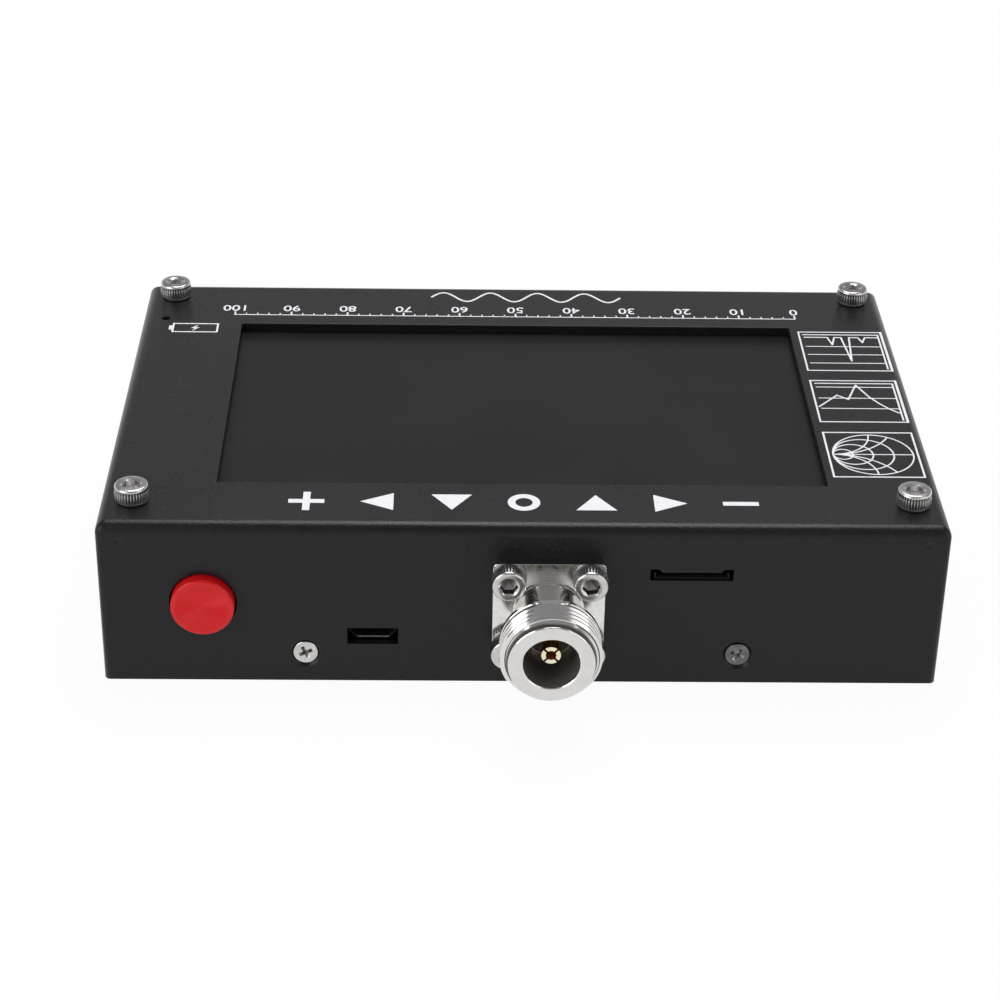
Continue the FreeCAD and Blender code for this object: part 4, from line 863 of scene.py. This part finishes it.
def arc(bm, x, y, radius, start, end, width):
    """A curved stroke from a start to an end angle, in degrees."""
    a, height = radians(start), ink_height()
    section = [bm.verts.new((x + r * cos(a), y + r * sin(a), z)) for r, z in
               ((radius - width / 2, top), (radius + width / 2, top),
                (radius + width / 2, top + height), (radius - width / 2, top + height))]
    face = bm.faces.new(section)
    full = abs(end - start) >= 360
    steps = max(3, int(abs(end - start) / 7 + radius))
    if full:
        bm.faces.remove(face)
        geom = section + list({e for v in section for e in v.link_edges})
    else:
        geom = section + face.edges[:] + [face]
    bmesh.ops.spin(bm, geom=geom, cent=(x, y, 0), axis=(0, 0, 1), dvec=(0, 0, 0),
                   angle=radians(end - start), steps=steps, use_merge=full, use_duplicate=False)


def print_piece(name, bm):
    bmesh.ops.recalc_face_normals(bm, faces=bm.faces[:])
    new_piece(name, bm, white_ink)


print("strokes ready")

# %% [markdown]
# The three framed drawings stand in a column beside the window. A frame is four bars; the
# plots have an axis along two sides, three grid lines and a trace.

# %% Framed plots
FRAME_WIDE, FRAME_DEEP = 14.6, 14.7


def on_frame(left, far, points):
    """Points in shares of the frame, from its far left corner, to case millimetres."""
    return [(left + FRAME_WIDE * u, far - FRAME_DEEP * v) for u, v in points]


def plot(name, left, far, grid, trace):
    bm = bmesh.new()
    polyline(bm, on_frame(left, far, [(1, 1), (0, 1), (0, 0), (1, 0)]), 0.3)
    polyline(bm, on_frame(left, far, [(1, 0), (1, 1)]), 0.42)
    polyline(bm, on_frame(left, far, [(0.05, 0.07), (0.955, 0.07), (0.955, 0.95)]), 0.3)
    for v in grid:
        polyline(bm, on_frame(left, far, [(0.055, v), (0.955, v)]), 0.24)
    polyline(bm, on_frame(left, far, trace), 0.3)
    print_piece(name, bm)


plot("print_dip_plot", 50.0, 25.08, (0.38, 0.59, 0.81),
     [(0.06, 0.14), (0.335, 0.14), (0.375, 0.33), (0.42, 0.14), (0.50, 0.14), (0.553, 0.75),
      (0.598, 0.14), (0.705, 0.14), (0.745, 0.27), (0.79, 0.14), (0.95, 0.14)])
plot("print_peak_plot", 49.88, 6.6, (0.16, 0.43, 0.68),
     [(0.03, 0.64), (0.27, 0.36), (0.39, 0.46), (0.52, 0.11), (0.64, 0.40), (0.73, 0.55),
      (0.83, 0.68), (0.92, 0.77), (0.955, 0.785)])

# %% [markdown]
# The round chart is a family of circles that all touch at one end of the diameter, and of
# arcs that leave the same point at right angles to them. The place where an arc of
# reactance x meets the rim follows from the chart's own geometry.

# %% Round chart
chart = bmesh.new()
left, far = 49.8, -11.78
polyline(chart, on_frame(left, far, [(0, 0), (1, 0), (1, 1), (0, 1), (0, 0)]), 0.32)
rim = 6.55
cx, cy = left + FRAME_WIDE / 2, far - FRAME_DEEP / 2
for resistance in (0, 0.32, 1, 3):
    r = rim / (1 + resistance)
    arc(chart, cx - rim + r, cy, r, 0, 360, 0.26)
bar(chart, cx - rim, cy, cx + rim, cy, 0.24)
for reactance in (1.0, 0.6):
    r = rim / reactance
    sweep = 2 * atan2(reactance, 1) * 180 / pi
    arc(chart, cx - rim, cy + r, r, -90, -90 + sweep, 0.26)
    arc(chart, cx - rim, cy - r, r, 90, 90 - sweep, 0.26)
print_piece("print_round_chart", chart)

# %% [markdown]
# Behind the window runs a scale with plain numbers, and in front of it a row of the bold
# signs that go with on-screen keys: minus, arrows, a dot and plus. The numbers are text
# objects of the built-in font, turned into meshes. They read from the rear, where the user
# sits with the cable leading away.

# %% Scale, key signs and light symbol
def number(bm, text, x, y, size):
    """Digits centred on a place, read from the rear of the case."""
    curve = bpy.data.curves.new("digits", "FONT")
    curve.body = text
    curve.size = size * 1.42
    curve.align_x, curve.align_y = "CENTER", "CENTER"
    curve.extrude = INK / 2
    curve.offset = size * 0.012
    curve.resolution_u = 6
    holder = bpy.data.objects.new("digits", curve)
    scene.collection.objects.link(holder)
    mesh = bpy.data.meshes.new_from_object(holder.evaluated_get(bpy.context.evaluated_depsgraph_get()))
    mesh.transform(Matrix.Translation((x, y, top + INK / 2)) @ Matrix.Rotation(pi, 4, "Z"))
    bm.from_mesh(mesh)
    bpy.data.meshes.remove(mesh)
    bpy.data.objects.remove(holder)
    bpy.data.curves.remove(curve)


def sign(bm, points):
    """A filled shape of straight edges."""
    face = bm.faces.new([bm.verts.new((x, y, top)) for x, y in points])
    lifted = bmesh.ops.extrude_face_region(bm, geom=[face])["geom"]
    bmesh.ops.translate(bm, vec=(0, 0, INK), verts=[v for v in lifted if isinstance(v, bmesh.types.BMVert)])


scale_bm = bmesh.new()
half, step, foot = 50.0, 2.0, 30.2
for i in range(51):
    x = half - step * i
    long = i % 5 == 0
    bar(scale_bm, x, foot, x, 31.3 if long else 30.8, 0.3 if long else 0.22)
    if long:
        number(scale_bm, str(2 * i), x, 32.95, 2.2)
bar(scale_bm, -half, foot, half, foot, 0.26)
print_piece("print_scale", scale_bm)

wave = bmesh.new()
length, swing, cycles, parts = 34.0, 1.75, 4, 72
points = [(-15.0 + length * k / parts, 38.05 + swing * sin(2 * pi * cycles * k / parts))
          for k in range(parts + 1)]
polyline(wave, points, 0.42)
print_piece("print_wave", wave)

signs = bmesh.new()
near, tall = -35.25, 2.6
for minus in (34.0, -34.0):
    bar(signs, minus - 2.3, near, minus + 2.3, near, 1.15)
bar(signs, minus, near - 2.3, minus, near + 2.3, 1.15)              # makes the last one a plus
for x, way in ((22.7, 1), (-22.7, -1)):
    sign(signs, [(x + 2.9 * way, near), (x - 2.3 * way, near + tall), (x - 2.3 * way, near - tall)])
for x, way in ((11.3, -1), (-11.3, 1)):
    sign(signs, [(x, near - 2.4 * way), (x + 3.2, near + 2.3 * way), (x - 3.2, near + 2.3 * way)])
arc(signs, 0, near, 1.95, 0, 360, 1.2)
print_piece("print_key_signs", signs)

light_sign = bmesh.new()
x, y = -56.6, 24.8
polyline(light_sign, [(x - 3.9, y - 1.6), (x + 3.9, y - 1.6), (x + 3.9, y + 1.6), (x - 3.9, y + 1.6),
                      (x - 3.9, y - 1.6)], 0.32)
bar(light_sign, x - 4.35, y - 0.55, x - 4.35, y + 0.55, 0.55)
bolt = [(0.5, 1.2), (-0.75, -0.15), (-0.05, -0.15), (-0.5, -1.2), (0.75, 0.15), (0.05, 0.15)]
sign(light_sign, [(x + i, y + j) for i, j in bolt])
print_piece("print_battery_symbol", light_sign)

# %% [markdown]
# ## The studio floor
# The floor is plain white card. Its shadow is kept but made faint for the camera and for
# mirrors, by mixing its lit colour with a plain white. From below it is clear, so that the
# underside can be looked at.

# %% Floor
floor_bm = bmesh.new()
bmesh.ops.create_grid(floor_bm, x_segments=1, y_segments=1, size=3.0)
bmesh.ops.translate(floor_bm, vec=(0, 0, -0.0001), verts=floor_bm.verts[:])
floor_mesh = bpy.data.meshes.new("floor")
floor_bm.to_mesh(floor_mesh)
floor_bm.free()
floor = bpy.data.objects.new("floor", floor_mesh)
scene.collection.objects.link(floor)

card = bpy.data.materials.new("white_card")
card.use_nodes = True
tree = card.node_tree
shader = tree.nodes["Principled BSDF"]
shader.inputs["Roughness"].default_value = 0.9
shader.inputs["Specular IOR Level"].default_value = 0.1
fibre = noise_node(tree, object_place(tree), 600.0, 3)
tone = mixed(tree, fibre, (0.86, 0.86, 0.86, 1), (0.9, 0.9, 0.9, 1))
tree.links.new(tone, shader.inputs["Base Color"])
path = tree.nodes.new("ShaderNodeLightPath")
seen = reckoned(tree, "MAXIMUM", path.outputs["Is Camera Ray"], path.outputs["Is Glossy Ray"])
seen = reckoned(tree, "MAXIMUM", seen, path.outputs["Is Transmission Ray"])
white = tree.nodes.new("ShaderNodeEmission").outputs["Emission"]
lit = mixed_shaders(tree, reckoned(tree, "MULTIPLY", seen, 0.95), shader.outputs["BSDF"], white)
from_below = tree.nodes.new("ShaderNodeNewGeometry").outputs["Backfacing"]
clear = tree.nodes.new("ShaderNodeBsdfTransparent").outputs["BSDF"]
tree.links.new(mixed_shaders(tree, from_below, lit, clear), tree.nodes["Material Output"].inputs["Surface"])
floor_mesh.materials.append(card)
print("floor ready")

# %% [markdown]
# ## World and lamps
# The camera sees a white background, while the light that the world gives is weaker and a
# touch cool. Mirrors find it white near the horizon and dim higher up, so that polished
# metal has bright sides and a darker top. One large soft lamp hangs over the object and
# behind it, and a weaker one stands at each side, the left one brighter than the right, so
# that a colour comes out about as it is written.

# %% World and lamps
world = bpy.data.worlds.new("studio")
scene.world = world
world.use_nodes = True
tree = world.node_tree
for item in list(tree.nodes):
    tree.nodes.remove(item)
fill = tree.nodes.new("ShaderNodeBackground")
fill.inputs["Color"].default_value = (0.96, 0.95, 1.0, 1)
fill.inputs["Strength"].default_value = 0.3
backdrop = tree.nodes.new("ShaderNodeBackground")
backdrop.inputs["Color"].default_value = (1, 1, 1, 1)
direction = tree.nodes.new("ShaderNodeSeparateXYZ")
tree.links.new(tree.nodes.new("ShaderNodeTexCoord").outputs["Generated"], direction.inputs["Vector"])
skyline = spread(tree, direction.outputs["Z"], 0.05, 0.52, 1.0, 0.0)
path = tree.nodes.new("ShaderNodeLightPath")
mirrored = reckoned(tree, "MULTIPLY", path.outputs["Is Glossy Ray"], skyline)
seen = reckoned(tree, "MAXIMUM", path.outputs["Is Camera Ray"], path.outputs["Is Transmission Ray"])
choice = mixed_shaders(tree, reckoned(tree, "MAXIMUM", seen, mirrored),
                       fill.outputs["Background"], backdrop.outputs["Background"])
tree.links.new(choice, tree.nodes.new("ShaderNodeOutputWorld").inputs["Surface"])


def lamp(name, place, target, size, power):
    data = bpy.data.lights.new(name, "AREA")
    data.shape = "RECTANGLE"
    data.size, data.size_y = size
    data.energy = power
    light = bpy.data.objects.new(name, data)
    light.location = place
    light.rotation_mode = "QUATERNION"
    light.rotation_quaternion = (Vector(target) - Vector(place)).to_track_quat("-Z", "Y")
    scene.collection.objects.link(light)
    print(name, power, "W")


lamp("overhead_softbox", (0.04, 0.27, 0.75), (0, 0, 0), (0.46, 0.52), 4.9)
lamp("left_softbox", (-0.65, -0.45, 0.42), (0, 0, 0), (0.6, 0.6), 3.2)
lamp("right_softbox", (0.65, -0.45, 0.42), (0, 0, 0), (0.6, 0.6), 1.1)

# %% Colour view
scene.view_settings.view_transform = "Standard"
